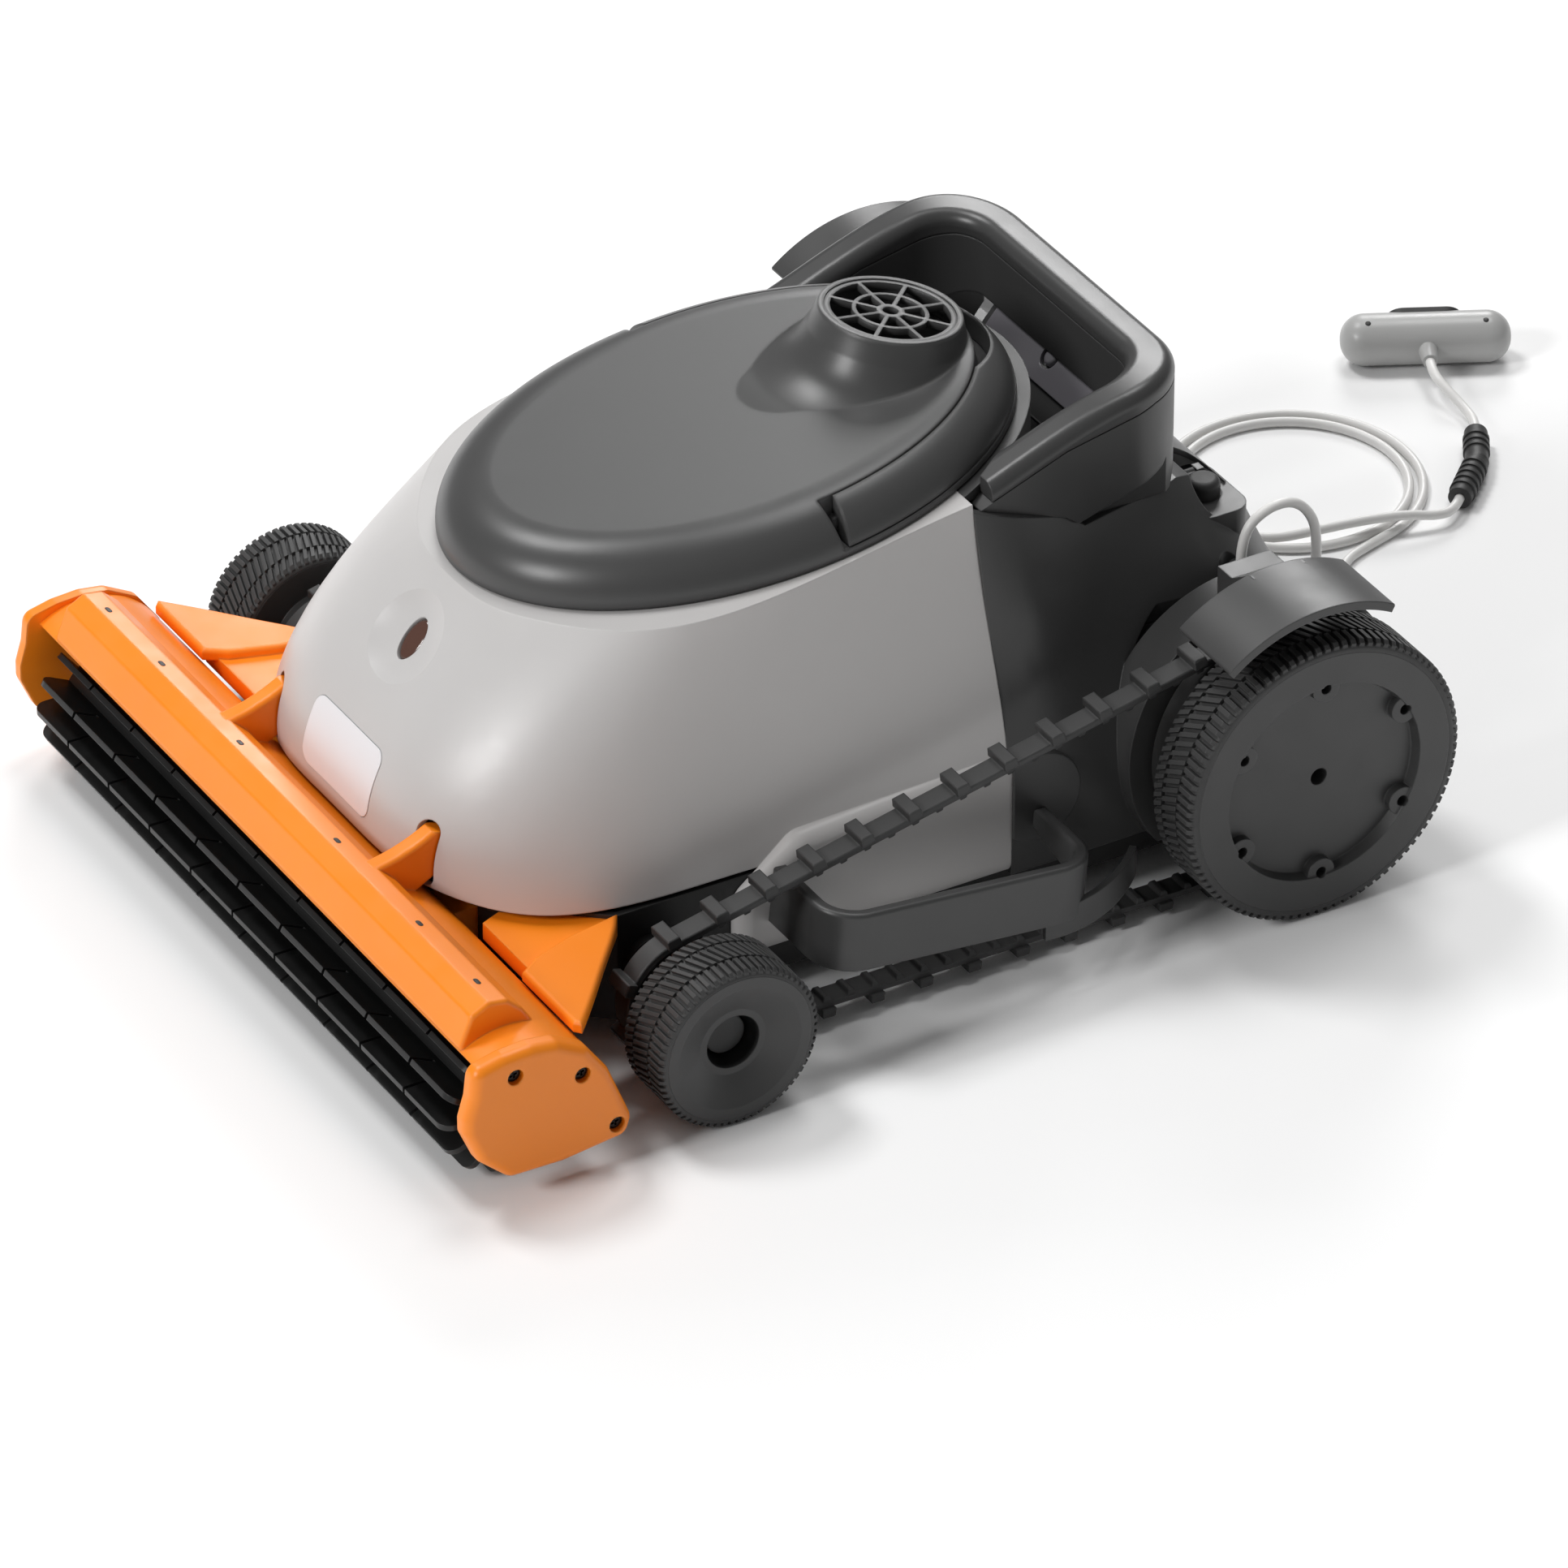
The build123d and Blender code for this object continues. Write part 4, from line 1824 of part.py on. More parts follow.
float_way = Vector(cos(radians(float_turn)), sin(radians(float_turn)), 0)
float_side = Vector(sin(radians(float_turn)), -cos(radians(float_turn)), 0)
float_mid = Vector(float_x, float_y, float_r)
relief_tip = float_mid + float_side * (float_r + relief_len)
pad_way = Vector(0, 0, 1) * cos(radians(pad_lean)) - float_side * sin(radians(pad_lean))
pad_plane = Plane(origin=float_mid + pad_way * (float_r - 3.0), x_dir=float_way, z_dir=pad_way)
with BuildPart() as float_body:
    with BuildSketch(Plane(origin=float_mid - float_way * (float_len / 2), z_dir=float_way)):
        Circle(float_r)
    extrude(amount=float_len)
    fillet(float_body.edges().filter_by(GeomType.CIRCLE), radius=float_r - 1.0)
    with BuildSketch(Plane(origin=float_mid, z_dir=float_side)):
        Circle(relief_r + 1.5)
    with BuildSketch(Plane(origin=relief_tip, z_dir=float_side)):
        Circle(relief_r - 0.8)
    loft(ruled=True)
    with BuildSketch(pad_plane):
        SlotOverall(pad_len + 0.4, pad_w + 0.4)
    extrude(amount=6.0, mode=Mode.SUBTRACT)
float_body.part.label = "float_body"
export_step(float_body.part, "parts/float_body.step")

with BuildPart() as float_pad:
    with BuildSketch(pad_plane):
        SlotOverall(pad_len, pad_w)
    extrude(amount=pad_t + 1.4)
float_pad.part.label = "float_pad"
export_step(float_pad.part, "parts/float_pad.step")

float_points = (
    tuple(plug_to),
    tuple(plug_to + (plug_to - plug_mid).normalized() * 10.0),
    (-119.0, 446.5, 5.2),
    (-131.0, 445.0, 8.6),
    tuple(relief_tip + float_side * 10.0),
    tuple(relief_tip),
)
with BuildPart() as float_lead:
    with BuildLine() as float_line:
        FilletPolyline(*float_points, radius=bend_radii(float_points))
    with BuildSketch(Plane(origin=float_line.line @ 0, z_dir=float_line.line % 0)):
        Circle(cord_r)
    sweep(path=float_line.wires()[0])
float_lead.part.label = "float_lead"
export_step(float_lead.part, "parts/float_lead.step")
cable_report("float lead", float_points, float_lead.part, float_line.wires()[0].length)

# Screws under the chassis
with BuildPart() as chassis_screws:
    with BuildSketch(Plane.XY.offset(tub_bottom_z + under_sink)):
        with Locations(*screw_spots):
            Circle(screw_r)
    extrude(amount=-under_head_h)
chassis_screws.part.label = "chassis_screws"
export_step(chassis_screws.part, "parts/chassis_screws.step")
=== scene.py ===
"""A robotic pool cleaner with its float cable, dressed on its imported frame.

Sizes are in millimetres where a field says so and in metres on every mesh.
The front with the brush looks along -Y, +X is the side with the cable gland and +Z is up.
"""

import json
import logging
import math
from collections.abc import Iterable, Sequence
from dataclasses import dataclass
from enum import Enum

import bmesh
import bpy
from mathutils import Matrix, Vector


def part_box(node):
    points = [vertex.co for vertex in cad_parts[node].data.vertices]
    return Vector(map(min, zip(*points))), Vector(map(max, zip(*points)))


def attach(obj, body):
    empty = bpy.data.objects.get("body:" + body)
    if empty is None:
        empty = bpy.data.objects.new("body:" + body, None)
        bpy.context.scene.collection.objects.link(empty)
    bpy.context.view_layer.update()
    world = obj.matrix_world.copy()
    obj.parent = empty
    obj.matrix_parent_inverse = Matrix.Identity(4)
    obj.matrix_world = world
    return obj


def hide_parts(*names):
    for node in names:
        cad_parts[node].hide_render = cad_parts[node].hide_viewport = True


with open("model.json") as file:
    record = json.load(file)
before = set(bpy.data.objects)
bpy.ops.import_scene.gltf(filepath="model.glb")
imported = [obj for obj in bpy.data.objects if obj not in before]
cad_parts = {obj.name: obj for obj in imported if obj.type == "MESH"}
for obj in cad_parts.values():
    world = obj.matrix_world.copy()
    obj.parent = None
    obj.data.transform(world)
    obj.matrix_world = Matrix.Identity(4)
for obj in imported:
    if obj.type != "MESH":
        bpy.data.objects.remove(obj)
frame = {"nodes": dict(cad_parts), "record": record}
LOG = logging.getLogger("pool_cleaner")
MM = 0.001
MAIN_BODY = "main_body"
WELD_M = 1e-6
CRISP_DEG = 40.0
Point = tuple[float, float, float]


class Side(Enum):
    """The two flanks of the machine."""

    LEFT = -1
    RIGHT = 1

    @property
    def word(self) -> str:
        """The ending that node and body names use."""
        return self.name.lower()


class Axle(Enum):
    """The two wheel pairs, each with its axle in millimetres along Y and Z."""

    FRONT = (-114.5, 38.0)
    REAR = (175.5, 67.5)

    @property
    def word(self) -> str:
        """The start that node and body names use."""
        return self.name.lower()

    @property
    def centre(self) -> Vector:
        """The axle's point on the middle plane, in metres."""
        return Vector((0.0, self.value[0], self.value[1])) * MM


def linear(code: str) -> tuple[float, float, float, float]:
    """Turn an sRGB hex colour into linear light.

    Args:
        code: A # and six hex digits.

    Returns:
        Red, green and blue, each from 0 to 1, and a full alpha.
    """
    parts = [int(code[i:i + 2], 16) / 255 for i in (1, 3, 5)]
    red, green, blue = [c / 12.92 if c <= 0.04045 else ((c + 0.055) / 1.055) ** 2.4 for c in parts]
    return red, green, blue, 1.0


def add_node(
        tree: bpy.types.NodeTree, kind: str, inputs: dict | None = None, **settings: object) -> bpy.types.Node:
    """Add a node with its settings and links.

    Args:
        tree: The shader or geometry tree.
        kind: The node's type name.
        inputs: Socket name or index to a value, to an output socket to link from, or to a list of them.
        **settings: Properties of the node itself.

    Returns:
        The new node.
    """
    node = tree.nodes.new(kind)
    for name, value in settings.items():
        setattr(node, name, value)
    for key, value in (inputs or {}).items():
        sources = value if isinstance(value, list) else [value]
        for source in sources:
            if isinstance(source, bpy.types.NodeSocket):
                tree.links.new(source, node.inputs[key])
            else:
                node.inputs[key].default_value = source
    return node


@dataclass(frozen=True)
class Finish:
    """One surface finish, made of noise at real sizes over a plain shader.

    The colour drifts a little over drift_mm, the gloss over gloss_mm, and the
    tool or mould texture stands up by grain_um at a width of grain_mm. Edges are
    rounded to edge_mm for the light, and a painted highlight lightens them towards
    the edge colour.
    """

    name: str
    slot: str
    colour: str
    second: str
    # the colour that edges are lightened towards, a painted highlight
    edge: str
    roughness: float
    spread: float = 0.05
    grain_mm: float = 1.2
    grain_um: float = 14.0
    drift_mm: float = 70.0
    gloss_mm: float = 16.0
    edge_mm: float = 0.9
    # how far the edges are lightened towards the edge colour: a painted highlight
    rub: float = 0.5
    metallic: float = 0.0
    ior: float = 1.5
    coat: float = 0.0
    sheen: float = 0.0
    pit_mm: Point | None = None

    # how far the rounded normal leans off the face where the painted edge highlight starts and where it is full
    rub_cosines = (0.99, 0.75)
    # most of what the noise gives lies between these
    noise_span = (0.3, 0.7)
    # near-black painted shade inside the front wheels' bores
    pit_colour = "#080808"
    pit_edge_mm = 0.5
    coat_roughness = 0.12
    bevel_rays = 4

    def pit(self, tree: bpy.types.NodeTree, place: bpy.types.NodeSocket) -> bpy.types.NodeSocket:
        """Mark the bore round the line through pit_mm's Y and Z, as wide as its third number, for painted shade.

        Args:
            tree: The finish's tree.
            place: The Object coordinates.

        Returns:
            A mask that is 1 inside the bore, where shade is painted.
        """
        y, z, radius = self.pit_mm
        away = add_node(tree, "ShaderNodeVectorMath", {0: place, 1: (0.0, y * MM, z * MM)}, operation="SUBTRACT")
        flat = add_node(tree, "ShaderNodeVectorMath", {0: away.outputs[0], 1: (0.0, 1.0, 1.0)}, operation="MULTIPLY")
        reach = add_node(tree, "ShaderNodeVectorMath", {0: flat.outputs[0]}, operation="LENGTH")
        mask = add_node(tree, "ShaderNodeMapRange", {
            "Value": reach.outputs["Value"], "From Min": radius * MM, "From Max": (radius - self.pit_edge_mm) * MM})
        return mask.outputs["Result"]

    def material(self) -> bpy.types.Material:
        """Give the finish's material, built at the first call.

        Returns:
            The material, shared by every piece with this finish.
        """
        found = bpy.data.materials.get(self.name)
        if found:
            return found
        made = bpy.data.materials.new(self.name)
        made.use_nodes = True
        tree = made.node_tree
        tree.nodes.clear()
        place = add_node(tree, "ShaderNodeTexCoord").outputs["Object"]
        drift = add_node(tree, "ShaderNodeTexNoise", {
            "Vector": place, "Scale": 1000 / self.drift_mm, "Detail": 3.0, "Roughness": 0.6})
        tint = add_node(tree, "ShaderNodeMix", {
            0: drift.outputs["Fac"], 6: linear(self.colour), 7: linear(self.second)}, data_type="RGBA")
        rounded = add_node(tree, "ShaderNodeBevel", {"Radius": self.edge_mm * MM}, samples=self.bevel_rays)
        facing = add_node(tree, "ShaderNodeNewGeometry")
        meet = add_node(tree, "ShaderNodeVectorMath", {
            0: rounded.outputs["Normal"], 1: facing.outputs["Normal"]}, operation="DOT_PRODUCT")
        # painted highlight: the colour lightens towards the edge colour where the rounded normal leans off the face
        start, full = self.rub_cosines
        edge_highlight_mix = add_node(tree, "ShaderNodeMapRange", {
            "Value": meet.outputs["Value"], "From Min": start, "From Max": full, "To Min": 0.0, "To Max": self.rub})
        shade = add_node(tree, "ShaderNodeMix", {
            0: edge_highlight_mix.outputs["Result"], 6: tint.outputs[2], 7: linear(self.edge)}, data_type="RGBA")
        # painted shade: the colour turns near black inside the front bores
        if self.pit_mm:
            shade = add_node(tree, "ShaderNodeMix", {
                0: self.pit(tree, place), 6: shade.outputs[2], 7: linear(self.pit_colour)}, data_type="RGBA")
        gloss = add_node(tree, "ShaderNodeTexNoise", {
            "Vector": place, "Scale": 1000 / self.gloss_mm, "Detail": 4.0})
        low, high = self.noise_span
        rough = add_node(tree, "ShaderNodeMapRange", {
            "Value": gloss.outputs["Fac"], "From Min": low, "From Max": high,
            "To Min": self.roughness - self.spread, "To Max": self.roughness + self.spread})
        grain = add_node(tree, "ShaderNodeTexNoise", {
            "Vector": place, "Scale": 1000 / self.grain_mm, "Detail": 2.0, "Roughness": 0.55})
        bump = add_node(tree, "ShaderNodeBump", {
            "Strength": 1.0, "Distance": self.grain_um * 1e-6, "Height": grain.outputs["Fac"],
            "Normal": rounded.outputs["Normal"]})
        shader = add_node(tree, "ShaderNodeBsdfPrincipled", {
            "Base Color": shade.outputs[2], "Roughness": rough.outputs["Result"], "Normal": bump.outputs["Normal"],
            "Metallic": self.metallic, "IOR": self.ior, "Coat Weight": self.coat,
            "Coat Roughness": self.coat_roughness, "Sheen Weight": self.sheen})
        add_node(tree, "ShaderNodeOutputMaterial", {"Surface": shader.outputs["BSDF"]})
        return made


class Finishes:
    """Every finish on the machine, named for the real material."""

    # satin ABS from a spark-eroded tool: an even silver-grey with a soft wide highlight
    grey_abs = Finish(
        "satin_grey_abs", "grey_plastic", "#BCBAB9", "#C2C0BF", "#CDCBC9", 0.36, 0.03, grain_mm=0.9, grain_um=6)
    # the same plastic in charcoal: a fine matt grain that greys the highlights
    charcoal_abs = Finish(
        "satin_charcoal_abs", "charcoal_plastic", "#393939", "#3E3E3E", "#5A5A5A", 0.38, 0.03, grain_mm=1.0,
        grain_um=7)
    # charcoal with a smoother tool, as on the lid: a long soft sheen
    lid_abs = Finish(
        "smooth_charcoal_abs", "lid_plastic", "#424242", "#454545", "#505050", 0.34, 0.015, grain_mm=0.8, grain_um=6,
        edge_mm=2.5, rub=0.15)
    # polished dark grey acrylic of the switch panel: flat, with clear reflections
    panel_acrylic = Finish(
        "polished_panel_acrylic", "panel_gloss", "#6B696E", "#747277", "#9A989C", 0.18, 0.03, grain_um=2, coat=0.5)
    # smoother charcoal rail of the handle, which takes a bright streak of light
    rail_abs = Finish("smooth_rail_abs", "charcoal_gloss", "#3A3A3A", "#404040", "#5C5C5C", 0.32, 0.015, grain_um=3)
    # orange polypropylene: a warm waxy gloss and slightly cloudy colour
    orange_pp = Finish(
        "moulded_orange_polypropylene", "orange_plastic", "#FB8409", "#FB8F1E", "#FFA844", 0.36, grain_um=8,
        edge_mm=1.4)
    # black polypropylene of the underbody, greyed by its coarse tool grain
    black_pp = Finish("matt_black_polypropylene", "black_plastic", "#1A1A1A", "#202020", "#343434", 0.46, grain_um=24)
    # glass-filled nylon of the wheels: matt with faint flow marks, and painted shade darkening the front bores to near
    # black
    hub_nylon = Finish(
        "matt_wheel_nylon", "hub_plastic", "#343434", "#3B3B3B", "#525252", 0.4, grain_um=14,
        pit_mm=(*Axle.FRONT.value, 12.4))
    # ground rubber of the drive belts, greyed by chalk on its flats
    belt_rubber = Finish("ground_belt_rubber", "black_rubber", "#303030", "#383838", "#4E4E4E", 0.5, grain_um=20)
    # moulded rubber of small seals and the connector: a dull even black
    seal_rubber = Finish("moulded_black_rubber", "black_rubber", "#2C2C2C", "#343434", "#4C4C4C", 0.55, grain_um=22)
    # thin rubber of the brush blades, a little shiny from release agent
    blade_rubber = Finish(
        "wiper_blade_rubber", "blade_rubber", "#0E0E0E", "#141414", "#3A3A3A", 0.34, grain_um=10, edge_mm=0.5)
    # soft tyre rubber: dull, with painted highlights on the edges of its ribs
    tyre_rubber = Finish(
        "soft_tyre_rubber", "tyre_rubber", "#303030", "#383838", "#5A5A5A", 0.56, grain_um=22, edge_mm=0.5)
    # white PVC sheath of the cable: silky and faintly grey
    cable_pvc = Finish(
        "white_pvc_sheath", "white_cable", "#DCDBD9", "#E6E5E3", "#ECEBEA", 0.36, grain_mm=0.7, grain_um=6)
    # blow-moulded polyethylene of the float: mid grey with a waxy satin
    float_pe = Finish("grey_float_polyethylene", "float_grey", "#A7A7A6", "#AEAEAD", "#BDBDBC", 0.34, grain_um=6)
    # smooth white vinyl of the label plate: an even paper white with a faint sheen
    label_vinyl = Finish(
        "white_label_vinyl", "label_white", "#DCDCDF", "#E2E2E5", "#EAEAEC", 0.42, 0.03, grain_um=3)
    # smoked polycarbonate over the lamp: dark brown with a clear polish
    lens_pc = Finish(
        "smoked_polycarbonate", "lens_glass", "#4A2F26", "#59392D", "#7A5A4C", 0.12, 0.03, grain_um=1, ior=1.58,
        coat=0.6)
    # nylon filter net: off-white and soft, its weave drawn coarser than it is so that it shows
    net_nylon = Finish(
        "nylon_filter_net", "mesh_fabric", "#D9D6CE", "#E2DFD8", "#EBE9E4", 0.6, grain_mm=0.8, grain_um=60, sheen=0.3)
    # stainless screws, pins and motor cans, turned or drawn: bright, with soft broad reflections
    steel = Finish(
        "turned_stainless_steel", "steel", "#9A9A9C", "#A0A0A2", "#C4C4C6", 0.3, 0.02, grain_um=1, metallic=1.0)
    # screws blackened in a salt bath: dull dark metal with painted highlights on its corners
    dark_steel = Finish(
        "blackened_screw_steel", "dark_steel", "#2A2A2A", "#353433", "#7C7A77", 0.36, grain_um=4, metallic=1.0,
        edge_mm=0.3)
    # sintered bronze of the bushes: a warm dull gold with fine pores
    brass = Finish("sintered_bronze", "brass", "#A98A4E", "#B59458", "#C7A86C", 0.35, grain_um=8, metallic=1.0)

    @classmethod
    def by_slot(cls) -> dict[str, Finish]:
        """Each finish under the record slot that it stands for, and the later of two on one slot."""
        return {f.slot: f for f in vars(cls).values() if isinstance(f, Finish)}


def show(name: str, data: bpy.types.ID) -> bpy.types.Object:
    """Put data into the scene as an object at the origin.

    Args:
        name: The object's name.
        data: A mesh, curve, lamp or camera.

    Returns:
        The new object.
    """
    made = bpy.data.objects.new(name, data)
    bpy.context.scene.collection.objects.link(made)
    return made


def aim(thing: bpy.types.Object, at: Point, target: Point) -> None:
    """Stand a lamp or camera at a point and turn it to another.

    Args:
        thing: The object.
        at: Where it stands, in metres.
        target: What it looks at, in metres.
    """
    way = Vector(target) - Vector(at)
    thing.matrix_world = Matrix.Translation(at) @ way.to_track_quat("-Z", "Y").to_matrix().to_4x4()


def seat(piece: bpy.types.Object, body: str, finish: Finish, nodes: Sequence[str] = ()) -> bpy.types.Object:
    """Let a finished piece ride on its body, take its slot and stand for CAD nodes.

    Args:
        piece: The object, at the origin with its place in its mesh.
        body: The body's name.
        finish: The finish that it is dressed in.
        nodes: CAD nodes that it stands for.

    Returns:
        The same object.
    """
    if not piece.data.materials:
        piece.data.materials.append(finish.material())
    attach(piece, body)
    if nodes:
        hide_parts(*nodes)
    LOG.info("%s rides on %s", piece.name, body)
    return piece


def to_object(name: str, form: bmesh.types.BMesh) -> bpy.types.Object:
    """Turn mesh code into an object with smooth rounds and crisp corners.

    Args:
        name: The object's name.
        form: The mesh under construction, freed here.

    Returns:
        A mesh object at the origin.
    """
    bmesh.ops.remove_doubles(form, verts=form.verts, dist=WELD_M)
    bmesh.ops.recalc_face_normals(form, faces=form.faces)
    mesh = bpy.data.meshes.new(name)
    form.to_mesh(mesh)
    form.free()
    mesh.shade_smooth()
    mesh.set_sharp_from_angle(angle=math.radians(CRISP_DEG))
    return show(name, mesh)


def bridge(form: bmesh.types.BMesh, rings: Sequence[Sequence[bmesh.types.BMVert]], closed: bool) -> None:
    """Join rings of vertices with quads.

    Args:
        form: The mesh under construction.
        rings: Rings with as many vertices each.
        closed: Whether the last ring meets the first.
    """
    pairs = list(zip(rings, rings[1:])) + ([(rings[-1], rings[0])] if closed else [])
    for one, two in pairs:
        for index in range(len(one)):
            after = (index + 1) % len(one)
            form.faces.new((one[index], one[after], two[after], two[index]))


class GeometryForm:
    """A geometry tree with named inputs that ends in one real, dressed mesh."""

    def __init__(self, name: str) -> None:
        """Open the tree.

        Args:
            name: The tree's name.
        """
        self.tree = bpy.data.node_groups.new(name, "GeometryNodeTree")
        self.keys: dict[str, str] = {}
        self.tree.interface.new_socket("Shape", in_out="OUTPUT", socket_type="NodeSocketGeometry")
        self.enter = self.tree.nodes.new("NodeGroupInput")
        self.base = self.take("Base", "NodeSocketGeometry")
        self.finish = self.take("Finish", "NodeSocketMaterial")

    def take(self, name: str, kind: str) -> bpy.types.NodeSocket:
        """Add a named input and give the socket that it comes in by."""
        self.keys[name] = self.tree.interface.new_socket(name, in_out="INPUT", socket_type=kind).identifier
        return self.enter.outputs[name]

    def put(self, kind: str, inputs: dict | None = None, **settings: object) -> bpy.types.NodeSocket:
        """Add a node and give its first output."""
        return add_node(self.tree, kind, inputs, **settings).outputs[0]

    def part(self, name: str) -> bpy.types.NodeSocket:
        """Take in a small object and give its shape as one instance."""
        held = self.take(name, "NodeSocketObject")
        return add_node(self.tree, "GeometryNodeObjectInfo", {"Object": held, "As Instance": True}).outputs["Geometry"]

    def close(self, *shapes: bpy.types.NodeSocket) -> None:
        """Join shapes, make their copies real and set the material.

        Args:
            *shapes: The shapes that the finished piece is made of.
        """
        joined = self.put("GeometryNodeJoinGeometry", {0: list(shapes)})
        real = self.put("GeometryNodeRealizeInstances", {0: joined})
        dressed = self.put("GeometryNodeSetMaterial", {"Geometry": real, "Material": self.finish})
        add_node(self.tree, "NodeGroupOutput", {0: dressed})

    def grow(self, name: str, base: bpy.types.Object, finish: Finish, **values: object) -> bpy.types.Object:
        """Run the tree over a base shape.

        Args:
            name: The new piece's name.
            base: The shape that the tree starts from, removed afterwards.
            finish: The finish of the whole piece.
            **values: The other inputs by name; objects among them are removed afterwards.

        Returns:
            A plain mesh object at the origin.
        """
        run = base.modifiers.new(self.tree.name, "NODES")
        run.node_group = self.tree
        run[self.keys["Finish"]] = finish.material()
        for key, value in values.items():
            run[self.keys[key]] = value
        graph = bpy.context.evaluated_depsgraph_get()
        mesh = bpy.data.meshes.new_from_object(base.evaluated_get(graph))
        mesh.name = name
        base.modifiers.remove(run)
        for used in (base, *(v for v in values.values() if isinstance(v, bpy.types.Object))):
            bpy.data.objects.remove(used)
        mesh.set_sharp_from_angle(angle=math.radians(CRISP_DEG))
        return show(name, mesh)


class RibRing(GeometryForm):
    """Copies of a tread rib all round an axle, on a plain tyre."""

    def __init__(self) -> None:
        """Build the tree."""
        super().__init__("rib_ring")
        rib = self.part("Rib")
        count = self.take("Count", "NodeSocketInt")
        centre = self.take("Centre", "NodeSocketVector")
        spots = self.put("GeometryNodeMeshLine", {"Count": count, "Start Location": centre, "Offset": (0, 0, 0)})
        step = self.put("ShaderNodeMath", {0: math.tau, 1: count}, operation="DIVIDE")
        turn = self.put("ShaderNodeMath", {0: self.put("GeometryNodeInputIndex"), 1: step}, operation="MULTIPLY")
        spin = self.put("ShaderNodeCombineXYZ", {"X": turn})
        ribs = self.put("GeometryNodeInstanceOnPoints", {"Points": spots, "Instance": rib, "Rotation": spin})
        self.close(self.base, ribs)


class LugBelt(GeometryForm):
    """Lugs and teeth spread evenly along a closed path, on a plain band."""

    def __init__(self) -> None:
        """Build the tree."""
        super().__init__("lug_belt")
        lug = self.part("Lug")
        tooth = self.part("Tooth")
        count = self.take("Count", "NodeSocketInt")
        held = self.take("Path", "NodeSocketObject")
        path = add_node(self.tree, "GeometryNodeObjectInfo", {"Object": held}).outputs["Geometry"]
        double = self.put("ShaderNodeMath", {0: count, 1: 2.0}, operation="MULTIPLY")
        self.close(self.base, self.spread(path, count, lug), self.spread(path, double, tooth))

    def spread(self, path: bpy.types.NodeSocket, count: bpy.types.NodeSocket,
               part: bpy.types.NodeSocket) -> bpy.types.NodeSocket:
        """Set copies along the path, each turned about X to the path's way.

        Args:
            path: The closed line in the YZ plane.
            count: How many copies.
            part: The copied shape, its length along Y and its outside along Z.

        Returns:
            The copies.
        """
        spots = add_node(self.tree, "GeometryNodeCurveToPoints", {"Curve": path, "Count": count}, mode="COUNT")
        way = add_node(self.tree, "ShaderNodeSeparateXYZ", {0: spots.outputs["Tangent"]})
        turn = self.put("ShaderNodeMath", {0: way.outputs["Z"], 1: way.outputs["Y"]}, operation="ARCTAN2")
        spin = self.put("ShaderNodeCombineXYZ", {"X": turn})
        return self.put("GeometryNodeInstanceOnPoints", {
            "Points": spots.outputs["Points"], "Instance": part, "Rotation": spin})


class SpotCopies(GeometryForm):
    """Copies of a small part at the points of a spot mesh, turned by its turn attribute."""

    def __init__(self) -> None:
        """Build the tree."""
        super().__init__("spot_copies")
        part = self.part("Part")
        turn = self.put("GeometryNodeInputNamedAttribute", {"Name": "turn"}, data_type="FLOAT_VECTOR")
        self.close(self.put("GeometryNodeInstanceOnPoints", {"Points": self.base, "Instance": part, "Rotation": turn}))

    @staticmethod
    def spots(name: str, places: Sequence[tuple[Point, Point]]) -> bpy.types.Object:
        """Make the spot mesh.

        Args:
            name: The mesh's name.
            places: Each copy's place in millimetres and its turn in degrees.

        Returns:
            An object of loose points.
        """
        mesh = bpy.data.meshes.new(name)
        mesh.from_pydata([Vector(at) * MM for at, _ in places], [], [])
        turns = mesh.attributes.new("turn", "FLOAT_VECTOR", "POINT")
        for entry, (_, turn) in zip(turns.data, places):
            entry.vector = [math.radians(angle) for angle in turn]
        return show(name, mesh)


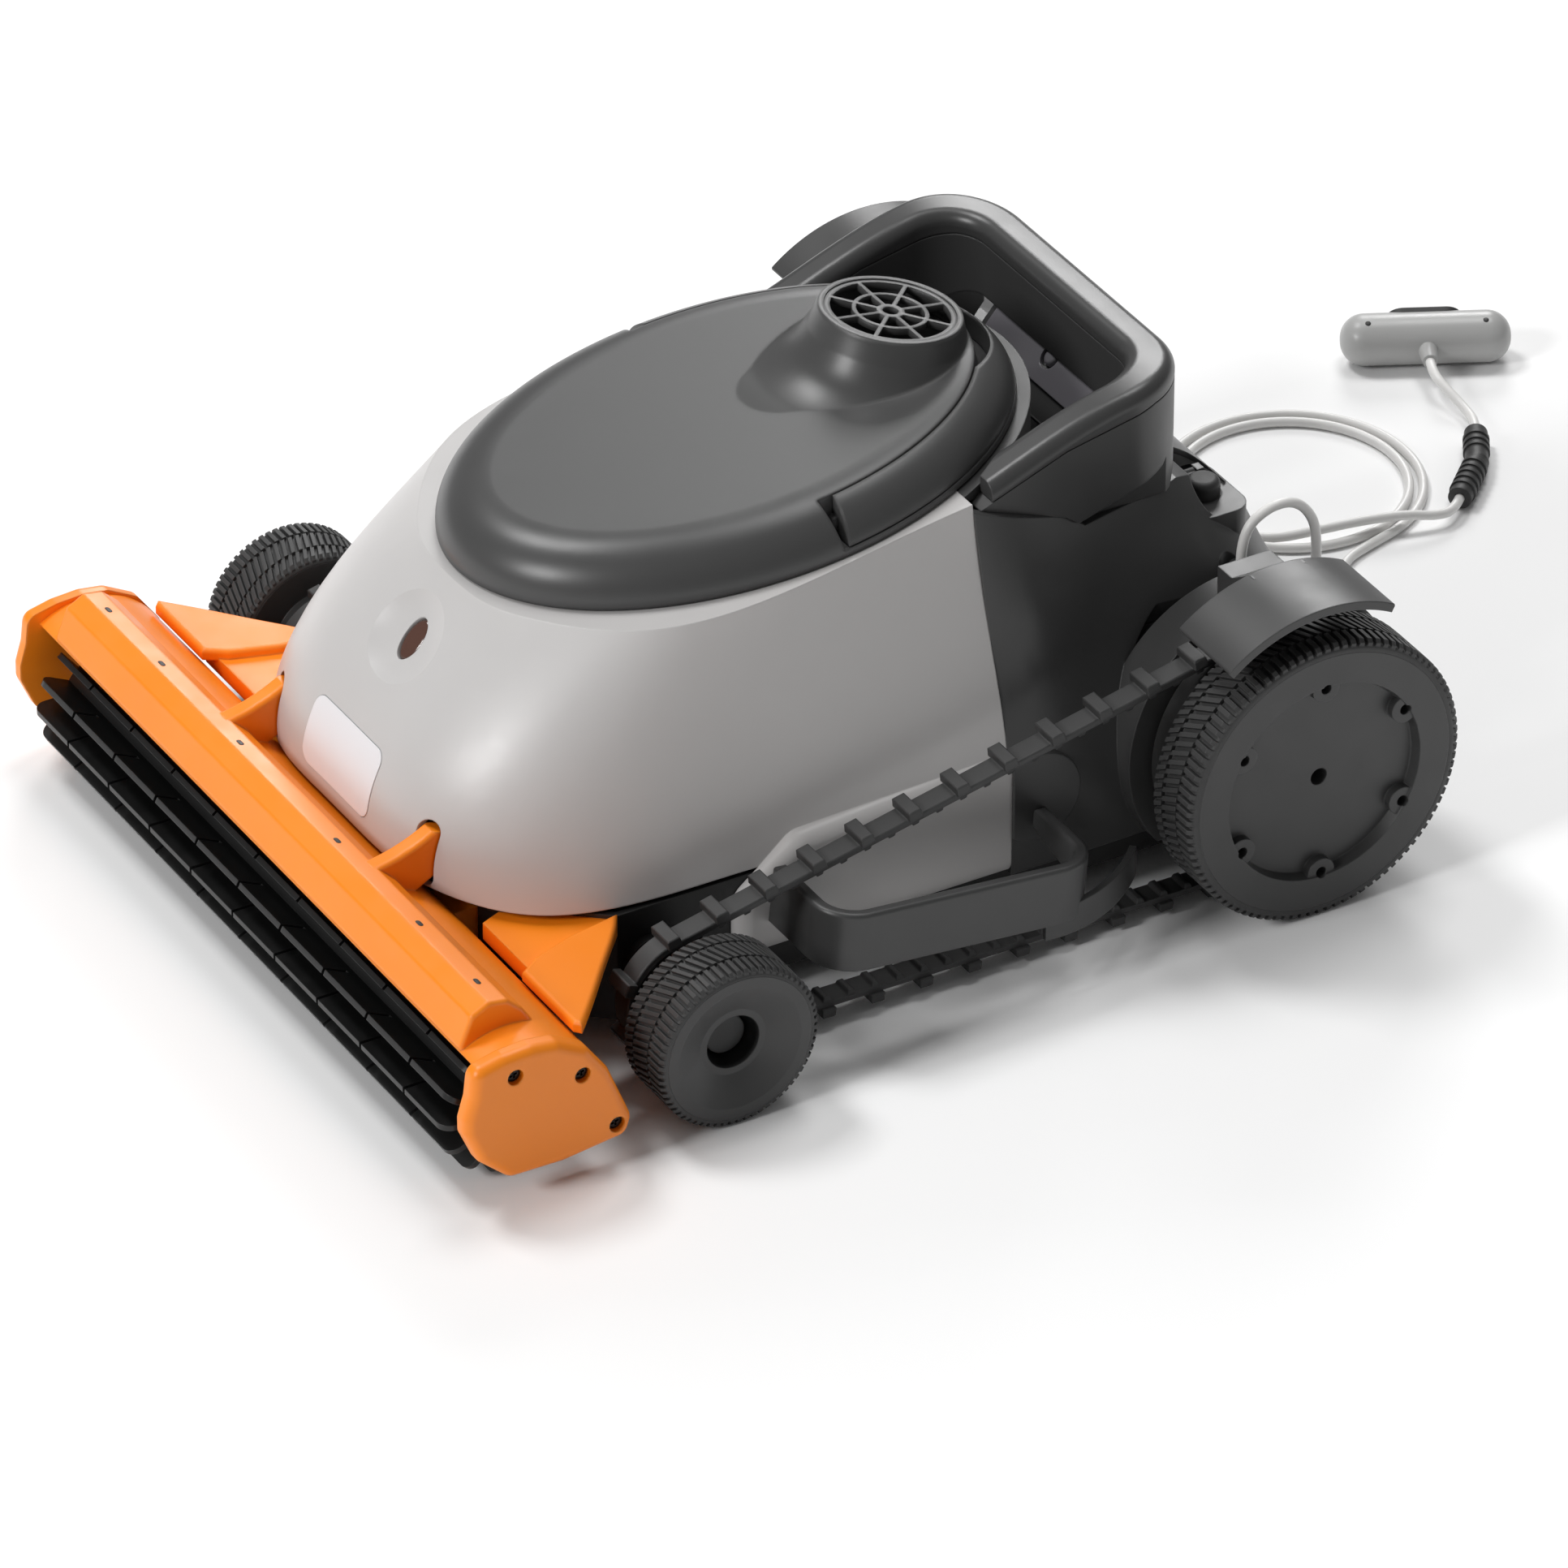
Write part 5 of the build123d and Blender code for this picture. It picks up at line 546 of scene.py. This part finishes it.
@dataclass
class Studio:
    """White floor, soft lamps and the camera at the photograph's angle."""

    camera_at: Point = (3.7060, -2.1262, 2.8236)
    looks_at: Point = (0.0926, -0.0316, 0.080)
    lens_mm: float = 274.16
    sensor_mm: float = 36.0
    far_m: float = 60.0
    floor_half: float = 14.0
    floor_colour: str = "#FCFCFC"
    sky: float = 0.20
    lamps_aim: Point = (0.0, 0.0, 0.08)

    # name, place in metres, side in metres, watts
    lamps = (
        ("key_softbox", (-3.1, -1.4, 6.1), 1.8, 175.0),
        ("front_softbox", (0.5, -5.9, 3.8), 1.8, 225.0),
        ("top_softbox", (-1.4, 2.1, 6.5), 2.4, 120.0),
        ("rim_softbox", (-4.9, 3.4, 3.5), 2.2, 150.0))

    def build(self) -> None:
        """Make the camera, the world, the lamps and the floor."""
        scene = bpy.context.scene
        scene.view_settings.view_transform = "Standard"
        data = bpy.data.cameras.new("photo_camera")
        data.lens = self.lens_mm
        data.sensor_width = self.sensor_mm
        data.sensor_fit = "HORIZONTAL"
        data.clip_end = self.far_m
        camera = show("photo_camera", data)
        aim(camera, self.camera_at, self.looks_at)
        scene.camera = camera
        self.world(scene)
        for name, at, size, watts in self.lamps:
            self.lamp(name, at, size, watts)
        self.floor()

    def world(self, scene: bpy.types.Scene) -> None:
        """Give a low even light from all round.

        Args:
            scene: The scene that takes the world.
        """
        world = bpy.data.worlds.new("white_studio")
        world.use_nodes = True
        tree = world.node_tree
        tree.nodes.clear()
        sky = add_node(tree, "ShaderNodeBackground", {"Color": (1, 1, 1, 1), "Strength": self.sky})
        add_node(tree, "ShaderNodeOutputWorld", {"Surface": sky.outputs["Background"]})
        scene.world = world

    def lamp(self, name: str, at: Point, size: float, watts: float) -> None:
        """Add one square soft lamp aimed at the machine.

        Args:
            name: The lamp's name.
            at: Where it hangs, in metres.
            size: Its side in metres.
            watts: Its power.
        """
        data = bpy.data.lights.new(name, "AREA")
        data.shape = "SQUARE"
        data.size = size
        data.energy = watts
        aim(show(name, data), at, self.lamps_aim)

    def floor(self) -> None:
        """Lay a plain white floor that keeps the shadow."""
        half = self.floor_half
        mesh = bpy.data.meshes.new("floor")
        corners = [(-half, -half, 0), (half, -half, 0), (half, half, 0), (-half, half, 0)]
        mesh.from_pydata(corners, [], [(0, 1, 2, 3)])
        plane = show("floor", mesh)
        made = bpy.data.materials.new("white_floor_paint")
        made.use_nodes = True
        tree = made.node_tree
        tree.nodes.clear()
        paint = add_node(tree, "ShaderNodeBsdfDiffuse", {"Color": linear(self.floor_colour)})
        add_node(tree, "ShaderNodeOutputMaterial", {"Surface": paint.outputs["BSDF"]})
        mesh.materials.append(made)


@dataclass
class Tyre:
    """One tyre: a rubber ring with rounded shoulders under ribs in three rows.

    The rows run round the tyre side by side: straight ribs at the outer face, then
    slanted ribs and short slanted ribs, with a fine gap between the rows.
    """

    axle: Axle
    side: Side
    radius_mm: float
    bore_mm: float
    face_mm: float
    width_mm: float
    ribs: int
    depth_mm: float
    shoulder_mm: float = 2.2
    round_steps: int = 144

    # a rib's share of its pitch, how far its flanks draw in and how deep it is rooted
    fill = 0.62
    flank = 0.82
    root_mm = 0.9
    # the drop of a rib's end, and where that drop starts and ends from the tyre's face
    end_drop_mm = 1.6
    crown_drop_mm = 0.1
    end_mm = (0.5, 2.0)
    # shares of the width where the rows end and start
    outer_end, middle_start, middle_end, inner_start = 0.33, 0.365, 0.71, 0.745
    # how far round a slanted row reaches, in pitches
    middle_slant = (0.45, 1.55)
    inner_slant = (1.2, 1.95, 2.05)
    shoulder_turns = (0.4, 0.8, 1.2, math.pi / 2)

    def ring(self, x_mm: float, r_mm: float) -> Vector:
        """A point of the profile: the distance from the outer face and from the axle, in metres."""
        return Vector((self.side.value * (self.face_mm - x_mm) * MM, 0.0, r_mm * MM))

    def carcass(self) -> bpy.types.Object:
        """Turn the plain ring about the axle.

        Returns:
            The ring as an object.
        """
        top = self.radius_mm - self.depth_mm
        bend = self.shoulder_mm
        outline = [(0.0, self.bore_mm), (0.0, top - bend)]
        outline += [(bend - bend * math.cos(a), top - bend + bend * math.sin(a)) for a in self.shoulder_turns]
        outline += [(self.width_mm - x, r) for x, r in reversed(outline)]
        form = bmesh.new()
        rings = []
        for step in range(self.round_steps):
            turn = Matrix.Rotation(math.tau * step / self.round_steps, 3, "X")
            rings.append([form.verts.new(self.axle.centre + turn @ self.ring(x, r)) for x, r in outline])
        bridge(form, rings, closed=True)
        return to_object("tyre_carcass", form)

    def bar(self, form: bmesh.types.BMesh, stops: Sequence[tuple[float, float, float]]) -> None:
        """Lay one rib along stops.

        Args:
            form: The mesh under construction.
            stops: Distance from the outer face, shift round the tyre and height of the top, in millimetres.
        """
        foot = self.radius_mm - self.depth_mm - self.root_mm
        half = math.pi * self.radius_mm / self.ribs * self.fill
        crest = self.flank * half
        rings = []
        for x, shift, top in stops:
            corners = ((-half, foot), (-crest, top), (crest, top), (half, foot))
            rings.append([
                form.verts.new(Matrix.Rotation((shift + along) / self.radius_mm, 3, "X") @ self.ring(x, r))
                for along, r in corners])
        bridge(form, rings, closed=False)
        form.faces.new(rings[0])
        form.faces.new(list(reversed(rings[-1])))

    def rib(self) -> bpy.types.Object:
        """Make the ribs of one pitch, about the axle at the origin.

        Returns:
            Three short bars as one object.
        """
        wide, high = self.width_mm, self.radius_mm
        low, crown = high - self.end_drop_mm, high - self.crown_drop_mm
        end, rise = self.end_mm
        pitch = math.tau * high / self.ribs
        slant = [share * pitch for share in (*self.middle_slant, *self.inner_slant)]
        form = bmesh.new()
        self.bar(form, ((end, 0.0, low), (rise, 0.0, crown), (self.outer_end * wide, 0.0, high)))
        self.bar(form, ((self.middle_start * wide, slant[0], high), (self.middle_end * wide, slant[1], high)))
        self.bar(form, (
            (self.inner_start * wide, slant[2], high), (wide - rise, slant[3], crown), (wide - end, slant[4], low)))
        return to_object("tread_rib", form)

    def build(self, tree: RibRing) -> None:
        """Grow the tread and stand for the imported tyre.

        Args:
            tree: The tree that sets ribs round an axle.
        """
        name = f"{self.axle.word}_tyre_{self.side.word}"
        piece = tree.grow(f"{name}_tread", self.carcass(), Finishes.tyre_rubber,
                          Rib=self.rib(), Count=self.ribs, Centre=self.axle.centre)
        seat(piece, f"{self.axle.word}_wheel_{self.side.word}", Finishes.tyre_rubber, (name,))


@dataclass
class DriveBelt:
    """One toothed belt over both pulleys, with raised lugs on its back."""

    side: Side
    middle_mm: float = 150.0
    front_mm: float = 25.3
    rear_mm: float = 58.3
    thick_mm: float = 3.0
    wide_mm: float = 11.0
    lug_mm: Point = (15.0, 6.5, 4.0)
    lug_taper_mm: float = 0.3
    tooth_mm: Point = (11.0, 4.0, 2.0)
    tooth_taper_mm: float = 0.6
    pitch_mm: float = 23.5
    ease_mm: float = 0.5
    root_mm: float = 0.4
    arc_steps: int = 60

    def loop(self, out_mm: float) -> list[Vector]:
        """Follow the belt once round, from the front pulley's upper tangent point.

        Args:
            out_mm: Distance from the belt's inner face.

        Returns:
            Points in metres on the belt's middle plane.
        """
        front, rear = Axle.FRONT.centre, Axle.REAR.centre
        gap = rear - front
        heading = math.atan2(gap.z, gap.y)
        swing = math.asin((self.rear_mm - self.front_mm) * MM / gap.length)
        upper, lower = heading + swing + math.pi / 2, heading - swing - math.pi / 2
        points = []
        for centre, radius, start, end in (
                (rear, self.rear_mm, upper, lower), (front, self.front_mm, lower, upper - math.tau)):
            for step in range(self.arc_steps + 1):
                turn = start + (end - start) * step / self.arc_steps
                reach = (radius + out_mm) * MM
                points.append(centre + Vector((0.0, math.cos(turn), math.sin(turn))) * reach)
        points = [points[-1], *points[:-1]]
        shift = Vector((self.side.value * self.middle_mm * MM, 0.0, 0.0))
        return [point + shift for point in points]

    def band(self) -> bpy.types.Object:
        """Make the plain band with eased edges.

        Returns:
            The band as an object.
        """
        half, ease, top = self.wide_mm / 2, self.ease_mm, self.thick_mm
        section = ((half, 0.0), (half, top - ease), (half - ease, top))
        section += tuple((-across, out) for across, out in reversed(section))
        loops = {out: self.loop(out) for _, out in section}
        form = bmesh.new()
        rings = [[form.verts.new(loops[out][index] + Vector((across * MM, 0.0, 0.0))) for across, out in section]
                 for index in range(len(loops[0.0]))]
        bridge(form, rings, closed=True)
        return to_object("belt_band", form)

    def block(self, name: str, size_mm: Point, taper_mm: float, inside: bool) -> bpy.types.Object:
        """Make one block with eased top edges, rooted in the band.

        Args:
            name: The object's name.
            size_mm: Its width, length and height.
            taper_mm: How much its outer end draws in.
            inside: Whether it stands on the belt's inner face and points inwards.

        Returns:
            The block about the origin, the belt's outside along Z.
        """
        wide, long, high = size_mm
        foot, rise = (0.0, -1.0) if inside else (self.thick_mm, 1.0)
        form = bmesh.new()
        rings = []
        for level, inset in ((-self.root_mm, 0.0), (high - self.ease_mm, taper_mm), (high, taper_mm + self.ease_mm)):
            x, y, z = (wide / 2 - inset) * MM, (long / 2 - inset) * MM, (foot + rise * level) * MM
            rings.append([form.verts.new(corner) for corner in ((-x, -y, z), (x, -y, z), (x, y, z), (-x, y, z))])
        bridge(form, rings, closed=False)
        form.faces.new(rings[0])
        form.faces.new(rings[-1])
        return to_object(name, form)

    def path(self) -> tuple[bpy.types.Object, int]:
        """Draw the inner line of the belt.

        Returns:
            The closed curve, and how many lugs go on it.
        """
        points = self.loop(0.0)
        data = bpy.data.curves.new("belt_line", "CURVE")
        data.dimensions = "3D"
        line = data.splines.new("POLY")
        line.points.add(len(points) - 1)
        for target, point in zip(line.points, points):
            target.co = (*point, 1.0)
        line.use_cyclic_u = True
        length = sum((b - a).length for a, b in zip(points, points[1:] + points[:1]))
        return show("belt_line", data), round(length / (self.pitch_mm * MM))

    def build(self, tree: LugBelt) -> None:
        """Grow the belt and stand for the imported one.

        Args:
            tree: The tree that sets lugs and teeth along a path.
        """
        path, count = self.path()
        lug = self.block("belt_lug", self.lug_mm, self.lug_taper_mm, inside=False)
        tooth = self.block("belt_tooth", self.tooth_mm, self.tooth_taper_mm, inside=True)
        name = f"drive_belt_{self.side.word}"
        piece = tree.grow(f"{name}_lugged", self.band(), Finishes.belt_rubber,
                          Lug=lug, Tooth=tooth, Count=count, Path=path)
        seat(piece, MAIN_BODY, Finishes.belt_rubber, (name,))


@dataclass
class ScrewSet:
    """Cross-recessed screws: a round head with a cross sunk into it, on a plain shank."""

    radius_mm: float = 3.4
    head_mm: float = 2.2
    shank_mm: float = 1.6
    shank_long_mm: float = 3.2
    cap_x_mm: float = 198.6
    cap_turn_deg: float = 20.0
    base_turn_deg: float = 15.0
    cross_mm: float = 1.9
    slot_mm: float = 0.55
    sunk_mm: float = 1.1
    sunk_taper: float = 0.75
    steps: int = 24

    # the head's rounded brim and the shank's point: distance along the screw and inwards
    brim_mm = ((0.7, 0.0), (0.2, 0.25), (0.0, 0.8))
    point_mm = ((0.0, 0.3), (0.5, 0.0))
    cap_mm = ((-221.4, 62.6), (-190.2, 53.0), (-174.4, 23.0))
    base_mm = ((90.0, -146.0), (-90.0, -146.0), (100.0, 40.0), (-100.0, 40.0), (95.0, 185.0), (-95.0, 185.0))

    def screw(self, head_mm: float, shank_mm: float) -> bpy.types.Object:
        """Make one screw along X, its head's foot at the origin.

        Args:
            head_mm: The head's height.
            shank_mm: The shank's length, or 0 for none.

        Returns:
            The screw as an object.
        """
        form = bmesh.new()
        ring = [math.tau * i / self.steps for i in range(self.steps)]
        levels = [(0.0, self.radius_mm)] + [(head_mm - down, self.radius_mm - inset) for down, inset in self.brim_mm]
        if shank_mm:
            tip = [(up - shank_mm, self.shank_mm - inset) for up, inset in self.point_mm]
            levels = [*tip, (0.0, self.shank_mm), *levels]
        rings = [[form.verts.new(Vector((x, r * math.cos(a), r * math.sin(a))) * MM) for a in ring] for x, r in levels]
        bridge(form, rings, closed=False)
        form.faces.new(rings[0])
        far, near = self.cross_mm, self.slot_mm
        arms = ((near, far), (near, near), (far, near), (far, -near), (near, -near), (near, -far),
                (-near, -far), (-near, -near), (-far, -near), (-far, near), (-near, near), (-near, far))
        rim = [form.verts.new(Vector((head_mm, y, z)) * MM) for y, z in arms]
        deep, draw = head_mm - self.sunk_mm, self.sunk_taper
        floor = [form.verts.new(Vector((deep, draw * y, draw * z)) * MM) for y, z in arms]
        edges = [form.edges.new((rim[i], rim[(i + 1) % len(rim)])) for i in range(len(rim))]
        top = [form.edges.get((rings[-1][i], rings[-1][(i + 1) % self.steps])) for i in range(self.steps)]
        bmesh.ops.triangle_fill(form, use_beauty=True, use_dissolve=False, edges=edges + top)
        bridge(form, [rim, floor], closed=False)
        form.faces.new(floor)
        return to_object("screw", form)

    def build(self, tree: SpotCopies) -> None:
        """Set the cap screws and the base screws.

        Args:
            tree: The tree that sets copies at spots.
        """
        caps = [((side.value * self.cap_x_mm, y, z), (self.cap_turn_deg, 0.0, 0.0 if side is Side.RIGHT else 180.0))
                for side in Side for y, z in self.cap_mm]
        piece = tree.grow("end_cap_screw_heads", tree.spots("cap_spots", caps), Finishes.dark_steel,
                          Part=self.screw(self.head_mm, self.shank_long_mm))
        seat(piece, MAIN_BODY, Finishes.dark_steel, ("end_cap_screws",))
        low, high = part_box("chassis_screws")
        flat = self.screw((high[2] - low[2]) / MM, 0.0)
        feet = [((x, y, high[2] / MM), (0.0, 90.0, self.base_turn_deg)) for x, y in self.base_mm]
        piece = tree.grow("base_screw_heads", tree.spots("base_spots", feet), Finishes.steel, Part=flat)
        seat(piece, MAIN_BODY, Finishes.steel, ("chassis_screws",))


@dataclass
class RidgeSlots:
    """Dark pads along the crest of the brush hood, painted shade standing for the openings of small drain slots."""

    wide_mm: float = 4.6
    deep_mm: float = 2.2
    crest_mm: tuple[float, float] = (-217.0, 84.85)
    tilt_deg: float = -9.5

    reach_mm = (43.0, 114.0, 163.0)
    end_turns = (-1.571, -1.05, -0.52, 0.0, 0.52, 1.05, 1.571)
    # height against the crest, and the share of the outline there
    levels_mm = ((-0.8, 1.0), (0.08, 1.0), (0.14, 0.9))

    def slot(self) -> bpy.types.Object:
        """Make one dark pad with a slot's round ends about the origin, a hair proud of the crest, as painted shade for
        the opening.

        Returns:
            The slot as an object.
        """
        form = bmesh.new()
        bend = self.deep_mm / 2
        line = [(self.wide_mm / 2 - bend + bend * math.cos(a), bend * math.sin(a)) for a in self.end_turns]
        line += [(-x, -y) for x, y in line]
        rings = [[form.verts.new(Vector((x * share, y * share, z)) * MM) for x, y in line]
                 for z, share in self.levels_mm]
        bridge(form, rings, closed=False)
        form.faces.new(rings[0])
        form.faces.new(rings[-1])
        return to_object("drain_slot", form)

    def build(self, tree: SpotCopies) -> None:
        """Set the slots along the crest.

        Args:
            tree: The tree that sets copies at spots.
        """
        y, z = self.crest_mm
        places = [((side.value * x, y, z), (self.tilt_deg, 0.0, 0.0)) for side in Side for x in self.reach_mm]
        # dark pads painted in as the shade of the slot openings; no opening is cut
        piece = tree.grow("ridge_drain_slots", tree.spots("slot_spots", places), Finishes.black_pp, Part=self.slot())
        seat(piece, MAIN_BODY, Finishes.black_pp)


@dataclass
class FloatCable:
    """The cable from its gland over the floor to the float, with its connector."""

    radius_mm: float = 2.25
    coil_mid_mm: tuple[float, float] = (-108.0, 346.0)
    coil_radius_mm: float = 60.0
    coil_start_deg: float = 15.0
    coil_step_mm: float = 1.6
    coil_quarters: int = 7
    quarter_points: int = 4
    float_mid_mm: Point = (-170.5, 458.0, 12.0)
    float_turn_deg: float = 63.4
    plug_lean_deg: float = 21.5
    plug_reach_mm: float = 26.9
    plug_steps: int = 16

    # a plug's height against the float's skin, and its radius there
    plug_mm = ((-0.8, 1.3), (0.1, 1.3), (0.25, 1.0))
    lead_mm = (
        (106, 184, 128), (106, 184, 143.5), (106, 197, 152.5), (106, 211, 151.5), (106, 220.5, 139.5),
        (105.5, 222.5, 123.5), (104, 222.5, 106), (100, 227, 85), (91, 239, 63), (76, 256, 41), (56, 273, 22),
        (33, 288, 9), (8, 301, 3.2), (-20, 315, 2.25), (-41, 332, 2.25), (-46.9, 349.9, 2.25))
    tail_mm = (
        (-85.3, 301.6, 2.25), (-70.5, 314, 3.4), (-62, 332, 7.2), (-56, 352, 9.4), (-50.5, 371, 9.4),
        (-46, 384, 7.1), (-47, 394, 6.1), (-54.5, 402, 6.1))
    float_lead_mm = (
        (-97, 438, 6.1), (-105.5, 443.3, 6.1), (-119, 446.5, 5.2), (-131, 445, 8.6), (-142.8, 444.1, 12),
        (-151.7, 448.6, 12))

    def coil(self) -> list[Point]:
        """Wind the coil inwards, a fixed number of points to each quarter turn.

        Returns:
            Control points in millimetres.
        """
        x, y = self.coil_mid_mm
        radius = self.coil_radius_mm
        angle = math.radians(self.coil_start_deg)
        step = math.pi / 2 / self.quarter_points
        points = []
        for _ in range(self.coil_quarters):
            for index in range(self.quarter_points):
                turn = angle + (index + 0.5) * step
                reach = radius / math.cos(step / 2)
                points.append((x + reach * math.cos(turn), y + reach * math.sin(turn), self.radius_mm))
            angle += math.pi / 2
            x += self.coil_step_mm * math.cos(angle)
            y += self.coil_step_mm * math.sin(angle)
            radius -= self.coil_step_mm
        return points

    def strand(self, name: str, points_mm: Iterable[Point]) -> bpy.types.Object:
        """Lay one smooth cable along control points.

        Args:
            name: The piece's name.
            points_mm: Control points in millimetres.

        Returns:
            A curve object with a round section.
        """
        points = [Vector(p) * MM for p in points_mm]
        data = bpy.data.curves.new(name, "CURVE")
        data.dimensions = "3D"
        line = data.splines.new("NURBS")
        line.points.add(len(points) - 1)
        for target, point in zip(line.points, points):
            target.co = (*point, 1.0)
        line.order_u = 3
        line.use_endpoint_u = True
        line.resolution_u = 8
        data.bevel_depth = self.radius_mm * MM
        data.bevel_resolution = 5
        data.use_fill_caps = True
        return show(name, data)

    def plugs(self, tree: SpotCopies) -> bpy.types.Object:
        """Set the two small plugs in the float's upper side.

        Args:
            tree: The tree that sets copies at spots.

        Returns:
            Both plugs as one piece.
        """
        form = bmesh.new()
        ring = [math.tau * i / self.plug_steps for i in range(self.plug_steps)]
        rings = [[form.verts.new(Vector((r * math.cos(a), r * math.sin(a), z)) * MM) for a in ring]
                 for z, r in self.plug_mm]
        bridge(form, rings, closed=False)
        form.faces.new(rings[0])
        form.faces.new(rings[-1])
        turn = math.radians(self.float_turn_deg)
        lean = math.radians(self.plug_lean_deg)
        along = Vector((math.cos(turn), math.sin(turn), 0.0))
        out = Vector((math.sin(turn) * math.sin(lean), -math.cos(turn) * math.sin(lean), math.cos(lean)))
        middle = Vector(self.float_mid_mm) + out * self.float_mid_mm[2]
        places = [(tuple(middle + along * reach), (0.0, self.plug_lean_deg, self.float_turn_deg - 90.0))
                  for reach in (-self.plug_reach_mm, self.plug_reach_mm)]
        plug = to_object("float_plug", form)
        piece = tree.grow("float_plugs", tree.spots("plug_spots", places), Finishes.black_pp, Part=plug)
        return seat(piece, MAIN_BODY, Finishes.black_pp)

    def build(self, tree: SpotCopies) -> None:
        """Args:
            tree: The tree that sets copies at spots.
        """
        cable = self.strand("float_cable", (*self.lead_mm, *self.coil(), *self.tail_mm))
        seat(cable, MAIN_BODY, Finishes.cable_pvc, ("cord_lead", "cord_coil", "cord_tail"))
        lead = self.strand("float_tail_cable", self.float_lead_mm)
        seat(lead, MAIN_BODY, Finishes.cable_pvc, ("float_lead",))
        self.plugs(tree)


class CarriedNodes:
    """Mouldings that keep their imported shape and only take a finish."""

    def build(self) -> None:
        """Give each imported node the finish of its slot."""
        finishes = Finishes.by_slot()
        slots = {entry["node"]: entry["material_slot"] for entry in frame["record"]["subparts"]}
        for name, node in frame["nodes"].items():
            node.data.materials.clear()
            node.data.materials.append(finishes[slots[name]].material())


def main() -> None:
    """Build every sub-assembly in order."""
    logging.basicConfig(level=logging.INFO, format="%(message)s")
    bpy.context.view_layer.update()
    Studio().build()
    tread, lugs, copies = RibRing(), LugBelt(), SpotCopies()
    FloatCable().build(copies)
    CarriedNodes().build()
    for side in Side:
        Tyre(Axle.FRONT, side, radius_mm=38.0, bore_mm=34.05, face_mm=200.0, width_mm=32.0, ribs=66,
             depth_mm=1.8).build(tread)
        Tyre(Axle.REAR, side, radius_mm=67.5, bore_mm=62.05, face_mm=189.0, width_mm=30.0, ribs=96,
             depth_mm=2.2).build(tread)
        DriveBelt(side).build(lugs)
    ScrewSet().build(copies)
    RidgeSlots().build(copies)


if __name__ == "__main__":
    main()
